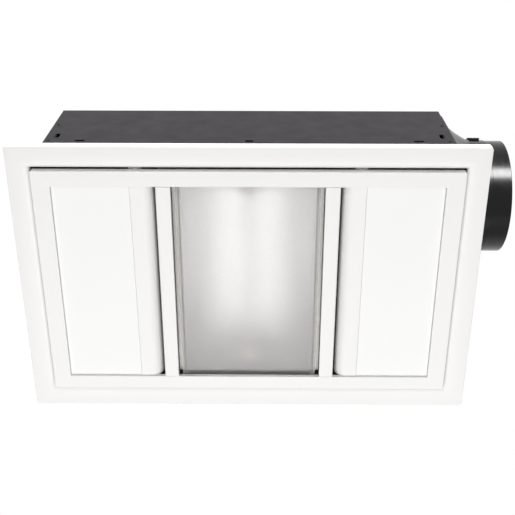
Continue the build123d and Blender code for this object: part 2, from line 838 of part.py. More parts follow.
with BuildPart() as impeller:
    with BuildSketch(Plane(origin=(blower_x, blower_y, impeller_bottom))):
        for i in range(blade_count):
            turn = i * 360 / blade_count
            lag = turn + blade_angle
            with BuildLine():
                ThreePointArc(
                    blade_point(impeller_inner, turn),
                    blade_point(blade_middle, turn + blade_sweep * 0.25),
                    blade_point(impeller_outer, turn + blade_sweep),
                )
                tip = turn + blade_sweep
                Line(blade_point(impeller_outer, tip), blade_point(impeller_outer, tip + blade_angle))
                ThreePointArc(
                    blade_point(impeller_outer, lag + blade_sweep),
                    blade_point(blade_middle, lag + blade_sweep * 0.25),
                    blade_point(impeller_inner, lag),
                )
                Line(blade_point(impeller_inner, lag), blade_point(impeller_inner, turn))
            make_face()
    extrude(amount=impeller_top - impeller_bottom)
    with BuildSketch(Plane(origin=(blower_x, blower_y, impeller_bottom))):
        Circle(impeller_outer + 1)
        Circle(impeller_outer - 2, mode=Mode.SUBTRACT)
    extrude(amount=2.4)
    with BuildSketch(Plane(origin=(blower_x, blower_y, impeller_top - 1.6))):
        Circle(impeller_outer + 1)
        Circle(cup_radius - cup_wall, mode=Mode.SUBTRACT)
    extrude(amount=1.6)
    with BuildSketch(Plane(origin=(blower_x, blower_y, cup_floor))):
        Circle(cup_radius)
        Circle(cup_radius - cup_wall, mode=Mode.SUBTRACT)
    extrude(amount=impeller_top - cup_floor)
    with BuildSketch(Plane(origin=(blower_x, blower_y, cup_floor))):
        Circle(cup_radius)
    extrude(amount=cup_floor_thick)
    with BuildSketch(Plane(origin=(blower_x, blower_y, nut_top))):
        Circle(boss_radius)
    extrude(amount=boss_top - nut_top)
    with BuildSketch(Plane(origin=(blower_x, blower_y, nut_top))):
        Circle(shaft_radius)
    extrude(amount=boss_top - nut_top, mode=Mode.SUBTRACT)
save(impeller, "impeller")

with BuildPart() as impeller_nut:
    with BuildSketch(Plane(origin=(blower_x, blower_y, nut_bottom))):
        RegularPolygon(8, 6)
        Circle(shaft_radius, mode=Mode.SUBTRACT)
    extrude(amount=nut_top - nut_bottom)
save(impeller_nut, "impeller_nut")


# Heater: an open-bottomed shield over a trough reflector, with the lamp and its frosted glass
shield_sheet = 1.0
ear_x = 60.0
ear_length = 24.0
ear_rise = 14.0
slot_length = 26.0
slot_spacing = 38.0
slot_height = 40.0

with BuildPart() as heat_shield:
    with BuildSketch(Plane.XY.offset(shield_bottom)):
        Rectangle(2 * shield_x, 2 * shield_y)
    extrude(amount=shield_top - shield_bottom)
    with BuildSketch(Plane.XY.offset(shield_bottom)):
        Rectangle(2 * (shield_x - shield_sheet), 2 * (shield_y - shield_sheet))
    extrude(amount=shield_top - shield_bottom - shield_sheet, mode=Mode.SUBTRACT)
    # ears reach out from the roof and turn up against the long walls, where they are spot-welded
    ear_span = inner_y - shield_y
    with BuildSketch(Plane.XY.offset(shield_top - shield_sheet)):
        with Locations(*[(i * ear_x, j * (shield_y + ear_span / 2)) for i, j in corners]):
            Rectangle(ear_length, ear_span)
    extrude(amount=shield_sheet)
    with BuildSketch(Plane.XY.offset(shield_top - shield_sheet)):
        with Locations(*[(i * ear_x, j * (inner_y - shield_sheet / 2)) for i, j in corners]):
            Rectangle(ear_length, shield_sheet)
    extrude(amount=ear_rise)
    # cooling slots let the fan draw air round the reflector
    with BuildSketch(Plane.YZ.offset(-shield_x)):
        with Locations((0, slot_height)):
            with GridLocations(slot_spacing, 1, 6, 1):
                SlotOverall(slot_length, 5)
    extrude(amount=2 * shield_x, mode=Mode.SUBTRACT)
save(heat_shield, "heat_shield")


def trough_outline(inset):
    """The reflector's section, inset by the thickness of its sheet."""
    mouth = reflector_mouth - inset
    roof = reflector_roof - inset
    knee = (64.0 - inset * 0.8, 34.0 - inset * 0.6)
    ThreePointArc((mouth, reflector_bottom), (77.0 - inset, 15.0), knee)
    ThreePointArc(knee, (36.0 - inset * 0.3, 48.6 - inset), (0, roof))
    ThreePointArc((0, roof), (-36.0 + inset * 0.3, 48.6 - inset), (-knee[0], knee[1]))
    ThreePointArc((-knee[0], knee[1]), (-77.0 + inset, 15.0), (-mouth, reflector_bottom))
    Line((-mouth, reflector_bottom), (mouth, reflector_bottom))


reflector_sheet = 1.0
lip_width = reflector_lip - reflector_mouth + reflector_sheet
with BuildPart() as heater_reflector:
    with BuildSketch(Plane.XZ):
        with BuildLine():
            trough_outline(0)
        make_face()
        with Locations(*[(i * (reflector_lip - lip_width / 2), reflector_bottom + 0.5) for i in both_sides]):
            Rectangle(lip_width, reflector_sheet)
        with BuildLine():
            trough_outline(reflector_sheet)
        make_face(mode=Mode.SUBTRACT)
    extrude(amount=reflector_half, both=True)
save(heater_reflector, "heater_reflector")

# Its end plates each have a foot that turns up against the shield
foot_end = shield_y - shield_sheet
foot_length = 156.0
foot_rise = 14.0
with BuildPart() as reflector_ends:
    for j in both_sides:
        with BuildSketch(Plane.XZ.offset(-j * reflector_half)):
            with BuildLine():
                trough_outline(-1.5)
            make_face()
        extrude(amount=-j * reflector_sheet)
        with BuildSketch(Plane.XY.offset(reflector_bottom)):
            with Locations((0, j * (reflector_half + foot_end) / 2)):
                Rectangle(foot_length, foot_end - reflector_half)
        extrude(amount=reflector_sheet)
        with BuildSketch(Plane.XY.offset(reflector_bottom)):
            with Locations((0, j * (foot_end - reflector_sheet / 2))):
                Rectangle(foot_length, reflector_sheet)
        extrude(amount=foot_rise)
save(reflector_ends, "reflector_ends")

# Lamp: a quartz tube with pinched ceramic ends, a heating coil inside and a holder at each end
tube_half = 106.0
cap_half = 122.0
cap_radius = 7.5
with BuildPart() as lamp_tube:
    with BuildSketch(Plane.XZ.offset(-tube_half)):
        with Locations((0, lamp_height)):
            Circle(lamp_radius)
            Circle(lamp_radius - 1, mode=Mode.SUBTRACT)
    extrude(amount=2 * tube_half)
save(lamp_tube, "lamp_tube")

with BuildPart() as lamp_caps:
    for j in both_sides:
        with BuildSketch(Plane.XZ.offset(-j * (tube_half - 4))):
            with Locations((0, lamp_height)):
                Circle(lamp_radius - 1)
        extrude(amount=-j * 4)
        with BuildSketch(Plane.XZ.offset(-j * tube_half)):
            with Locations((0, lamp_height)):
                Circle(cap_radius)
        extrude(amount=-j * (cap_half - tube_half))
save(lamp_caps, "lamp_caps")

with BuildPart() as lamp_filament:
    with BuildSketch(Plane.XZ.offset(-(tube_half - 4))):
        with Locations((0, lamp_height)):
            Circle(1.8)
    extrude(amount=2 * (tube_half - 4))
save(lamp_filament, "lamp_filament")

# Each holder is a ceramic block on the reflector's end, bored for the cap of the lamp
holder_face = 112.0
with BuildPart() as lamp_holders:
    for j in both_sides:
        with BuildSketch(Plane.XZ.offset(-j * holder_face)):
            with Locations((0, lamp_height)):
                RectangleRounded(28, 24, 3)
        extrude(amount=-j * (reflector_half - holder_face))
        with BuildSketch(Plane.XZ.offset(-j * holder_face)):
            with Locations((0, lamp_height)):
                Circle(cap_radius)
        extrude(amount=-j * (cap_half - holder_face), mode=Mode.SUBTRACT)
save(lamp_holders, "lamp_holders")

with BuildPart() as heater_glass:
    with BuildSketch(Plane.XY.offset(glass_bottom)):
        Rectangle(2 * glass_half_x, 2 * glass_half_y)
    extrude(amount=glass_top - glass_bottom)
    chamfer(heater_glass.faces().sort_by(Axis.Z)[0].edges(), length=0.8)
save(heater_glass, "heater_glass")

clip_at = (-62.0, 62.0)
with BuildPart() as glass_clips:
    for x in clip_at:
        for j in both_sides:
            with BuildSketch(Plane.YZ.offset(x - 6)):
                with BuildLine():
                    Polyline(
                        (j * (glass_half_y - 2), glass_bottom),
                        (j * (glass_half_y - 2), glass_bottom - 0.4),
                        (j * (glass_half_y + 1.2), glass_bottom - 0.4),
                        (j * (glass_half_y + 1.2), reflector_bottom),
                        (j * (glass_half_y + 0.4), reflector_bottom),
                        (j * (glass_half_y + 0.4), glass_bottom),
                        close=True,
                    )
                make_face()
            extrude(amount=12)
save(glass_clips, "glass_clips")

cutout_place = (-60, 40)
with BuildPart() as thermal_cutout:
    with BuildSketch(Plane.XY.offset(shield_top)):
        with Locations(cutout_place):
            RectangleRounded(26, 12, 2)
    extrude(amount=1.2)
    with BuildSketch(Plane.XY.offset(shield_top)):
        with Locations(cutout_place):
            Circle(8)
    extrude(amount=9)
    fillet(thermal_cutout.edges().filter_by(GeomType.CIRCLE).group_by(Axis.Z)[-1], radius=1)
save(thermal_cutout, "thermal_cutout")


# Panel: the frame, its two bars, two light units and the posts that it hangs on
boss_places = [(i * x, j * 136.5) for i, j in corners for x in (150.0, 212.0)]
screw_boss = 4.0

with BuildPart() as panel_frame:
    rectangle_ring(panel_length, panel_width, 2 * window_x, 2 * window_y, panel_face, panel_face + panel_wall)
    rectangle_ring(
        panel_length,
        panel_width,
        panel_length - 2 * panel_wall,
        panel_width - 2 * panel_wall,
        panel_face,
        panel_top,
    )
    rectangle_ring(
        2 * (window_x + panel_wall),
        2 * (window_y + panel_wall),
        2 * window_x,
        2 * window_y,
        panel_face,
        ledge,
    )
    with BuildSketch(Plane.XY.offset(panel_face + panel_wall)):
        with Locations(*boss_places):
            Circle(screw_boss)
    extrude(amount=ledge - panel_face - panel_wall)
    with BuildSketch(Plane.XY.offset(panel_face + panel_wall)):
        with Locations(*boss_places):
            Circle(1.5)
    extrude(amount=ledge - panel_face - panel_wall, mode=Mode.SUBTRACT)
    upright = panel_frame.edges().filter_by(Axis.Z).filter_by(GeomType.LINE)
    outer_corners = upright.group_by(lambda edge: round(hypot(edge.center().X, edge.center().Y)))[-1]
    fillet(outer_corners, radius=1.4)
    face = panel_frame.faces().sort_by(Axis.Z)[0]
    fillet(face.outer_wire().edges(), radius=0.8)
save(panel_frame, "panel_frame")


def heater_bar(side):
    """A box-section bar between the rails, with a tongue that lies on their ledges."""
    middle = side * (bar_inner + bar_outer) / 2
    width = bar_outer - bar_inner
    depth = ledge - panel_face
    with BuildPart() as bar:
        with BuildSketch(Plane.XZ):
            with Locations((middle, panel_face + depth / 2)):
                Rectangle(width, depth)
        extrude(amount=window_y - seam, both=True)
        lower = bar.edges().filter_by(Axis.Y).group_by(Axis.Z)[0].sort_by(Axis.X)
        outer = lower[-1] if side > 0 else lower[0]
        inner = lower[0] if side > 0 else lower[-1]
        fillet(outer, radius=1.8)
        fillet(inner, radius=0.8)
        with BuildSketch(Plane.XZ):
            with Locations((middle, panel_face + depth / 2)):
                Rectangle(width - 3.2, depth - 3.2)
        extrude(amount=window_y, both=True, mode=Mode.SUBTRACT)
        with BuildSketch(Plane.XY.offset(ledge)):
            with Locations((middle, 0)):
                Rectangle(width - 3.6, 2 * tongue_reach)
        extrude(amount=tongue)
    return bar


heater_bar_left = heater_bar(-1)
save(heater_bar_left, "heater_bar_left")
heater_bar_right = heater_bar(1)
save(heater_bar_right, "heater_bar_right")

light_inner = diffuser_inner + 3.0
light_outer = window_x - 3.0
light_half = window_y - 3.0
flange_top = ledge + 1.5


def led_tray(side):
    """A moulded tray whose inner side rolls up beside the heater and whose flange lies on the frame."""
    roll_x = strip_inner + strip_roll
    roll_z = strip_face + strip_roll
    with BuildPart() as tray:
        with BuildSketch(Plane.XZ):
            with BuildLine():
                Polyline(
                    (side * diffuser_inner, ledge),
                    (side * diffuser_inner, strip_face),
                    (side * roll_x, strip_face),
                )
                CenterArc((side * roll_x, roll_z), strip_roll, -90, -90 * side)
                Polyline(
                    (side * strip_inner, roll_z),
                    (side * strip_inner, strip_top),
                    (side * (strip_inner + strip_wall), strip_top),
                    (side * (strip_inner + strip_wall), roll_z),
                )
                CenterArc((side * roll_x, roll_z), strip_roll - strip_wall, 90 + 90 * side, 90 * side)
                Line((side * roll_x, ledge), (side * diffuser_inner, ledge))
            make_face()
        extrude(amount=window_y - seam, both=True)
        flange_inner = roll_x
        with BuildSketch(Plane.XY.offset(ledge)):
            with Locations((side * (flange_inner + flange_x) / 2, 0)):
                Rectangle(flange_x - flange_inner, 2 * flange_y)
            with Locations((side * (light_inner + light_outer) / 2, 0)):
                Rectangle(light_outer - light_inner, 2 * light_half, mode=Mode.SUBTRACT)
            with Locations(*[place for place in boss_places if place[0] * side > 0]):
                Circle(1.6, mode=Mode.SUBTRACT)
        extrude(amount=flange_top - ledge)
        with BuildSketch(Plane.XY.offset(flange_top)):
            with Locations((side * (light_inner + light_outer) / 2, 0)):
                Rectangle(light_outer - light_inner + 2 * tray_wall, 2 * (light_half + tray_wall))
                Rectangle(light_outer - light_inner, 2 * light_half, mode=Mode.SUBTRACT)
        extrude(amount=tray_top - flange_top)
        with BuildSketch(Plane.XY.offset(tray_top - tray_wall)):
            with Locations((side * (light_inner + light_outer) / 2, 0)):
                Rectangle(light_outer - light_inner + 2 * tray_wall, 2 * (light_half + tray_wall))
        extrude(amount=tray_wall)
    return tray


led_tray_left = led_tray(-1)
save(led_tray_left, "led_tray_left")
led_tray_right = led_tray(1)
save(led_tray_right, "led_tray_right")


def diffuser(side):
    """An opal plate glued under the tray's flange."""
    outer = window_x - seam
    inner = diffuser_inner + seam
    with BuildPart() as plate:
        with BuildSketch(Plane.XY.offset(diffuser_face)):
            with Locations((side * (outer + inner) / 2, 0)):
                Rectangle(outer - inner, 2 * (window_y - seam))
        extrude(amount=ledge - diffuser_face)
        fillet(plate.faces().sort_by(Axis.Z)[0].edges(), radius=0.3)
    return plate


diffuser_left = diffuser(-1)
save(diffuser_left, "diffuser_left")
diffuser_right = diffuser(1)
save(diffuser_right, "diffuser_right")


def led_board(side):
    """A circuit board under the roof of the tray, with rows of lamps facing down."""
    middle = side * (light_inner + light_outer) / 2
    roof = tray_top - tray_wall
    with BuildPart() as board:
        with BuildSketch(Plane.XY.offset(roof)):
            with Locations((middle, 0)):
                Rectangle(light_outer - light_inner - 2, 2 * light_half - 2)
        extrude(amount=-board_thick)
        with BuildSketch(Plane.XY.offset(roof - board_thick)):
            with Locations((middle, 0)):
                with GridLocations(20, 20.5, lamp_rows, lamps_in_row):
                    Rectangle(3.5, 2.8)
        extrude(amount=-0.8)
    return board


led_board_left = led_board(-1)
save(led_board_left, "led_board_left")
led_board_right = led_board(1)
save(led_board_right, "led_board_right")

panel_seats = [seat(x, y, flange_top, (0, 0, -1)) for x, y in boss_places]
panel_screws = screw_set(panel_seats, 3.0, 1.6, 1.4, 4.8)
save(panel_screws, "panel_screws")

post_foot = panel_face + panel_wall
post_places = [(i * post_x, j * post_y) for i, j in corners]
post_head = 3.0
post_foot_length = 15.0
post_head_width = 18.0
with BuildPart() as hanger_posts:
    with BuildSketch(Plane.XY.offset(post_foot)):
        with Locations(*post_places):
            Rectangle(post_thick, post_width)
    extrude(amount=post_top - post_foot)
    with BuildSketch(Plane.XY.offset(post_foot)):
        with Locations(*[(i * (post_x - 3.2), j * post_y) for i, j in corners]):
            Rectangle(post_foot_length, 2 * post_width)
    extrude(amount=2)
    with BuildSketch(Plane.XY.offset(post_top - post_head)):
        with Locations(*post_places):
            Rectangle(post_thick, post_head_width)
    extrude(amount=post_head)
save(hanger_posts, "hanger_posts")

clip_depth = 16.0
clip_width = 24.0
clip_back = 2.0
clip_rise = 24.0
clip_gap = 0.3
with BuildPart() as hanger_clips:
    for i, j in corners:
        with BuildSketch(Plane.XY.offset(clip_bottom)):
            with Locations((i * (inner_x - clip_depth / 2), j * post_y)):
                Rectangle(clip_depth, clip_width)
            with Locations((i * post_x, j * post_y)):
                Rectangle(post_thick + 2 * clip_gap, post_width + 2 * clip_gap, mode=Mode.SUBTRACT)
        extrude(amount=clip_top - clip_bottom)
        with BuildSketch(Plane.XY.offset(clip_bottom)):
            with Locations((i * (inner_x - clip_back / 2), j * post_y)):
                Rectangle(clip_back, clip_width)
        extrude(amount=clip_rise)
save(hanger_clips, "hanger_clips")


# Electrics: the terminal box on the left end, and the driver and capacitor inside
cover_wall = 2.0
box_depth = -box_x - wall_x
box_width = box_y[1] - box_y[0]
box_height = box_z[1] - box_z[0]
box_centre = ((box_y[0] + box_y[1]) / 2, (box_z[0] + box_z[1]) / 2)

wall_depth = box_depth - cover_wall
cover_screw_hole = 1.7

with BuildPart() as terminal_cover:
    with BuildSketch(Plane.YZ.offset(-wall_x - wall_depth)):
        with Locations(box_centre):
            RectangleRounded(box_width, box_height, 4)
        with Locations(*cover_screws_at):
            Circle(cover_screw_hole, mode=Mode.SUBTRACT)
    extrude(amount=-cover_wall)
    rim = terminal_cover.faces().sort_by(Axis.X)[0].outer_wire().edges()
    fillet(rim, radius=1.5)
save(terminal_cover, "terminal_cover")

with BuildPart() as terminal_box:
    with BuildSketch(Plane.YZ.offset(-wall_x)):
        with Locations(box_centre):
            RectangleRounded(box_width, box_height, 4)
            RectangleRounded(box_width - 2 * cover_wall, box_height - 2 * cover_wall, 2, mode=Mode.SUBTRACT)
        with Locations(*cover_screws_at):
            Circle(4)
            Circle(cover_screw_hole, mode=Mode.SUBTRACT)
    extrude(amount=-wall_depth)
    with BuildSketch(Plane.XZ.offset(-box_y[1])):
        with Locations((gland_x, gland_z)):
            Circle(gland_thread)
    extrude(amount=cover_wall, mode=Mode.SUBTRACT)
save(terminal_box, "terminal_box")

cover_seats = [seat(box_x, y, z, (1, 0, 0)) for y, z in cover_screws_at]
cover_screws = screw_set(cover_seats, 3.2, 1.8, 1.5, box_depth + 3)
save(cover_screws, "cover_screws")

# The cable enters along Y through a gland with a domed nut outside and a flat nut inside
gland_collar = 4.0
gland_dome = 10.0
gland_tail = 9.0
gland_start = box_y[1] - gland_tail
with BuildPart() as cable_gland:
    with BuildSketch(Plane.XZ.offset(-box_y[1])):
        with Locations((gland_x, gland_z)):
            RegularPolygon(gland_hex, 6)
    extrude(amount=-gland_collar)
    with BuildSketch(Plane.XZ.offset(-box_y[1] - gland_collar)):
        with Locations((gland_x, gland_z)):
            Circle(8.4)
    extrude(amount=-gland_dome)
    dome = cable_gland.edges().filter_by(GeomType.CIRCLE).sort_by(Axis.Y)[-1]
    fillet(dome, radius=3)
    with BuildSketch(Plane.XZ.offset(-gland_start)):
        with Locations((gland_x, gland_z)):
            Circle(gland_thread)
    extrude(amount=-gland_tail)
    with BuildSketch(Plane.XZ.offset(-gland_start)):
        with Locations((gland_x, gland_z)):
            Circle(cable_radius)
    extrude(amount=-gland_tail - gland_collar - gland_dome, mode=Mode.SUBTRACT)
save(cable_gland, "cable_gland")

nut_thick = 4.0
with BuildPart() as gland_nut:
    with BuildSketch(Plane.XZ.offset(-(box_y[1] - cover_wall - nut_thick))):
        with Locations((gland_x, gland_z)):
            RegularPolygon(8.8, 6)
            Circle(gland_thread, mode=Mode.SUBTRACT)
    extrude(amount=-nut_thick)
save(gland_nut, "gland_nut")

block_middle = (14.0, 120.0)
block_ear = 3.0
block_rise = 10.0
block_way = 9.0
with BuildPart() as terminal_block:
    with BuildSketch(Plane.YZ.offset(-wall_x)):
        with Locations(block_middle):
            RectangleRounded(56, 14, 1.5)
    extrude(amount=-block_ear)
    with BuildSketch(Plane.YZ.offset(-wall_x - block_ear)):
        with Locations(block_middle):
            with GridLocations(block_way, 1, 4, 1):
                Rectangle(block_way - 1, 14)
    extrude(amount=-block_rise)
    with BuildSketch(Plane.YZ.offset(-wall_x - block_ear - block_rise)):
        with Locations(block_middle):
            with GridLocations(block_way, 7, 4, 2):
                Circle(2.2)
    extrude(amount=block_rise / 2, mode=Mode.SUBTRACT)
    with BuildSketch(Plane.YZ.offset(-wall_x)):
        with Locations(*block_screws_at):
            Circle(1.7)
    extrude(amount=-block_ear, mode=Mode.SUBTRACT)
save(terminal_block, "terminal_block")

capacitor_length = 50.0
capacitor_depth = 20.0
with BuildPart() as fan_capacitor:
    with BuildSketch(Plane.XZ.offset(-inner_y)):
        with Locations((capacitor_screw[0] - capacitor_length / 2 - 9, capacitor_screw[1])):
            RectangleRounded(capacitor_length, 30, 3)
    extrude(amount=capacitor_depth)
    fillet(fan_capacitor.faces().sort_by(Axis.Y)[0].edges(), radius=1)
    with BuildSketch(Plane.XZ.offset(-inner_y)):
        with Locations((capacitor_screw[0] - 3, capacitor_screw[1])):
            Rectangle(14, 12)
        with Locations(capacitor_screw):
            Circle(1.7, mode=Mode.SUBTRACT)
    extrude(amount=ear_plate)
save(fan_capacitor, "fan_capacitor")

driver_middle = ((driver_screws_at[0][0] + driver_screws_at[1][0]) / 2, driver_screws_at[0][1])
driver_length = 98.0
driver_height = 28.0
with BuildPart() as led_driver:
    with BuildSketch(Plane.XY.offset(inner_top)):
        with Locations(driver_middle):
            RectangleRounded(driver_length, 40, 2)
    extrude(amount=-driver_height)
    fillet(led_driver.faces().sort_by(Axis.Z)[0].edges(), radius=1)
    with BuildSketch(Plane.XY.offset(inner_top)):
        with Locations(driver_middle):
            RectangleRounded(driver_length + 24, 12, 3)
        with Locations(*driver_screws_at):
            Circle(1.7, mode=Mode.SUBTRACT)
    extrude(amount=-ear_plate)
save(led_driver, "led_driver")

fixing_seats = [seat(-wall_x - block_ear, y, z, (1, 0, 0)) for y, z in block_screws_at]
fixing_seats += [seat(-wall_x, *earth_screw, (1, 0, 0))]
fixing_seats += [seat(capacitor_screw[0], inner_y - ear_plate, capacitor_screw[1], (0, 1, 0))]
fixing_seats += [seat(x, y, inner_top - ear_plate, (0, 0, 1)) for x, y in driver_screws_at]
fixing_seats += adaptor_seats
fixing_screws = screw_set(fixing_seats, 3.2, 1.8, 1.5, 6.0)
save(fixing_screws, "fixing_screws")
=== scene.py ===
# Bathroom heater fan light: the looks of a ceiling unit with a heater, an exhaust fan and two
# light panels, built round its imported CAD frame. X runs along the long side and the duct leaves
# at +X, -Y is the near long side and +Z points up into the ceiling void. Sizes are in metres in
# the properties and in millimetres in the mesh builders, which scale them by MM.

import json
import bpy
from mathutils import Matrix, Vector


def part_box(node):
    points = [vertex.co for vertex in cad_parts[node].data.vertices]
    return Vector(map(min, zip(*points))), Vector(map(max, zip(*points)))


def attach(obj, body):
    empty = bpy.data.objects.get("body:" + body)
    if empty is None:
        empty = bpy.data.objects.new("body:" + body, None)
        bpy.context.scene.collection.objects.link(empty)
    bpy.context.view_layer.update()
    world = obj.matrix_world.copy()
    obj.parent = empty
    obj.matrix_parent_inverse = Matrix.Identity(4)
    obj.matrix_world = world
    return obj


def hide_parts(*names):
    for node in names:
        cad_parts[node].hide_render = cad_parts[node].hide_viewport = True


bl_info = {
    "name": "Bathroom Heater Fan Light",
    "version": (1, 0, 0),
    "blender": (4, 5, 0),
    "location": "3D View > Sidebar > Heater Fan",
    "description": "Builds the pieces, finishes and studio of a bathroom heater fan light",
    "category": "Object",
}

from math import atan2, cos, pi, radians, sin, tan

import bmesh
import bpy
from bpy.props import FloatProperty, FloatVectorProperty, IntProperty, PointerProperty
from mathutils import Matrix, Vector

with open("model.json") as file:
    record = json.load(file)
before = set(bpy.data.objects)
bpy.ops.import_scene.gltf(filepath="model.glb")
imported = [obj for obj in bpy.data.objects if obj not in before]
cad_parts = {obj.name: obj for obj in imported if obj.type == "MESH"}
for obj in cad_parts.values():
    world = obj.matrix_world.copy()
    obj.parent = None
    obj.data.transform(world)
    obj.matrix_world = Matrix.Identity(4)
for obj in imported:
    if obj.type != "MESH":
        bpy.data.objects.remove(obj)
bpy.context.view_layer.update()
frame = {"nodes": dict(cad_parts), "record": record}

MM = 0.001
SLOT_OF = {part["node"]: part["material_slot"] for part in frame["record"]["subparts"]}
SIDES = (-1, 1)
CORNERS = [(i, j) for i in SIDES for j in SIDES]
RING = ((-1, -1), (1, -1), (1, 1), (-1, 1))  # the corners in order round a rectangle

# Places that two or more pieces share, in millimetres
BEZEL_SCREW = (130.0, 144.5)
LUG_LEVEL = -3.2
PANEL_SCREW_X = (150.0, 212.0)
PANEL_SCREW_Y = 136.5
BLOWER = (62.0, 4.0)
FLAP_PIN = (296.5, -62.0, 120.0)


def linear(code):
    """An sRGB hex colour as linear red, green and blue."""
    parts = [int(code[i : i + 2], 16) / 255 for i in (1, 3, 5)]
    return tuple(v / 12.92 if v <= 0.04045 else ((v + 0.055) / 1.055) ** 2.4 for v in parts)


class HeaterFanSizes(bpy.types.PropertyGroup):
    """Sizes of the pieces that are built here."""

    edge_radius: FloatProperty(
        name="Moulded edge", description="Radius on the moulded edges", default=0.0005, unit="LENGTH"
    )
    lip_radius: FloatProperty(
        name="Bezel lip", description="Radius along the bezel's outer edge", default=0.0008, unit="LENGTH"
    )
    roll_width: FloatProperty(
        name="Bezel roll width", description="Width of the rolled inner edge", default=0.0095, unit="LENGTH"
    )
    roll_rise: FloatProperty(
        name="Bezel roll rise", description="Height of the rolled inner edge", default=0.005, unit="LENGTH"
    )
    roll_steps: IntProperty(name="Roll steps", description="Faces round a rolled edge", default=16, min=4)
    duct_steps: IntProperty(name="Duct steps", description="Faces round the duct", default=192, min=24)
    rivet_radius: FloatProperty(
        name="Rivet radius", description="Radius of a blind rivet's head", default=0.0024, unit="LENGTH"
    )
    rivet_height: FloatProperty(
        name="Rivet height", description="Height of a blind rivet's head", default=0.0009, unit="LENGTH"
    )
    recess_share: FloatProperty(
        name="Recess", description="Cross recess by a screw's head radius", default=0.24, subtype="FACTOR"
    )
    blade_count: IntProperty(name="Blades", description="Blades in the impeller", default=36, min=3)
    blade_sweep: FloatProperty(
        name="Blade sweep", description="Angle from root to tip", default=radians(8.0), unit="ROTATION"
    )
    blade_thickness: FloatProperty(
        name="Blade thickness", description="Thickness of a blade", default=0.0009, unit="LENGTH"
    )
    spring_turns: FloatProperty(name="Spring turns", description="Turns of a flap's spring", default=8.5)
    spring_pitch: FloatProperty(
        name="Spring pitch", description="Rise in one turn of a flap's spring", default=0.0012, unit="LENGTH"
    )
    spring_wire: FloatProperty(
        name="Spring wire", description="Radius of the spring's wire", default=0.00035, unit="LENGTH"
    )
    lamp_pitch: FloatProperty(
        name="Filament pitch", description="Rise in one turn of the coil", default=0.0016, unit="LENGTH"
    )
    lamp_wire: FloatProperty(
        name="Filament wire", description="Radius of the lamp's coiled wire", default=0.0003, unit="LENGTH"
    )


class HeaterFanColours(bpy.types.PropertyGroup):
    """Main colours of the object's finishes."""

    white_abs: FloatVectorProperty(
        name="White ABS", description="Fascia mouldings", subtype="COLOR", size=3, default=linear("#F1F0EF")
    )
    opal: FloatVectorProperty(
        name="Opal acrylic", description="Light plates", subtype="COLOR", size=3, default=linear("#F4F4F3")
    )
    coated_steel: FloatVectorProperty(
        name="Coated steel", description="Housing sheets", subtype="COLOR", size=3, default=linear("#2A282B")
    )
    gloss_black: FloatVectorProperty(
        name="Duct moulding", description="Glossy tube", subtype="COLOR", size=3, default=linear("#060607")
    )
    black_nylon: FloatVectorProperty(
        name="Black nylon", description="Box and flaps", subtype="COLOR", size=3, default=linear("#1B1B1D")
    )


def add_node(tree, kind, settings=None, inputs=None):
    """Add a node, give it its settings, and set or link its inputs."""
    node = tree.nodes.new(kind)
    for name, value in (settings or {}).items():
        setattr(node, name, value)
    for key, value in (inputs or {}).items():
        if isinstance(value, bpy.types.NodeSocket):
            tree.links.new(value, node.inputs[key])
        else:
            node.inputs[key].default_value = value
    return node


def number(tree, operation, a, b=0.0):
    """One sum inside a tree."""
    return add_node(tree, "ShaderNodeMath", {"operation": operation}, {0: a, 1: b}).outputs[0]


def opaque(colour):
    """A colour with full alpha, from three linear numbers or an sRGB hex code."""
    rgb = linear(colour) if isinstance(colour, str) else tuple(colour)
    return (*rgb, 1.0)


def start_material(name, **values):
    """A material with one Principled shader and its own sockets set, and the object's coordinates."""
    material = bpy.data.materials.new(name)
    material.use_nodes = True
    tree = material.node_tree
    tree.nodes.clear()
    inputs = {key.replace("_", " "): value for key, value in values.items()}
    shader = add_node(tree, "ShaderNodeBsdfPrincipled", inputs=inputs)
    add_node(tree, "ShaderNodeOutputMaterial", inputs={"Surface": shader.outputs[0]})
    place = add_node(tree, "ShaderNodeTexCoord").outputs["Object"]
    return material, tree, shader, place


def stretched(tree, place, along):
    """Coordinates scaled by axis, which draws a pattern out along the smaller axes."""
    return add_node(tree, "ShaderNodeMapping", inputs={"Vector": place, "Scale": along}).outputs[0]


def noise(tree, place, scale, detail=2.0, roughness=0.5):
    """Smooth noise from 0 to 1 with so many cells in a metre."""
    values = {"Vector": place, "Scale": scale, "Detail": detail, "Roughness": roughness}
    return add_node(tree, "ShaderNodeTexNoise", inputs=values).outputs["Fac"]


def cells(tree, place, scale, feature="F1", output="Distance"):
    """Voronoi cells, so many in a metre."""
    settings = {"feature": feature}
    values = {"Vector": place, "Scale": scale}
    return add_node(tree, "ShaderNodeTexVoronoi", settings, values).outputs[output]


def span(tree, factor, low, high, start=0.25, end=0.75):
    """A number that runs from low to high as the factor goes from start to end."""
    values = {"Value": factor, "From Min": start, "From Max": end, "To Min": low, "To Max": high}
    return add_node(tree, "ShaderNodeMapRange", inputs=values).outputs["Result"]


def tint(tree, factor, low, high):
    """A colour mixed between two by a factor."""
    settings = {"data_type": "RGBA"}
    values = {0: factor, 6: opaque(low), 7: opaque(high)}
    return add_node(tree, "ShaderNodeMix", settings, values).outputs[2]


def relief(tree, shader, height, depth, strength=1.0, edge=0.0003):
    """Surface relief of a real depth over edges that are softened to a real radius."""
    softened = add_node(tree, "ShaderNodeBevel", {"samples": 6}, {"Radius": edge}).outputs[0]
    values = {"Height": height, "Distance": depth, "Strength": strength, "Normal": softened}
    bump = add_node(tree, "ShaderNodeBump", inputs=values)
    tree.links.new(bump.outputs[0], shader.inputs["Normal"])


def colour_of(shader, socket):
    """Link a colour to the shader."""
    shader.id_data.links.new(socket, shader.inputs["Base Color"])


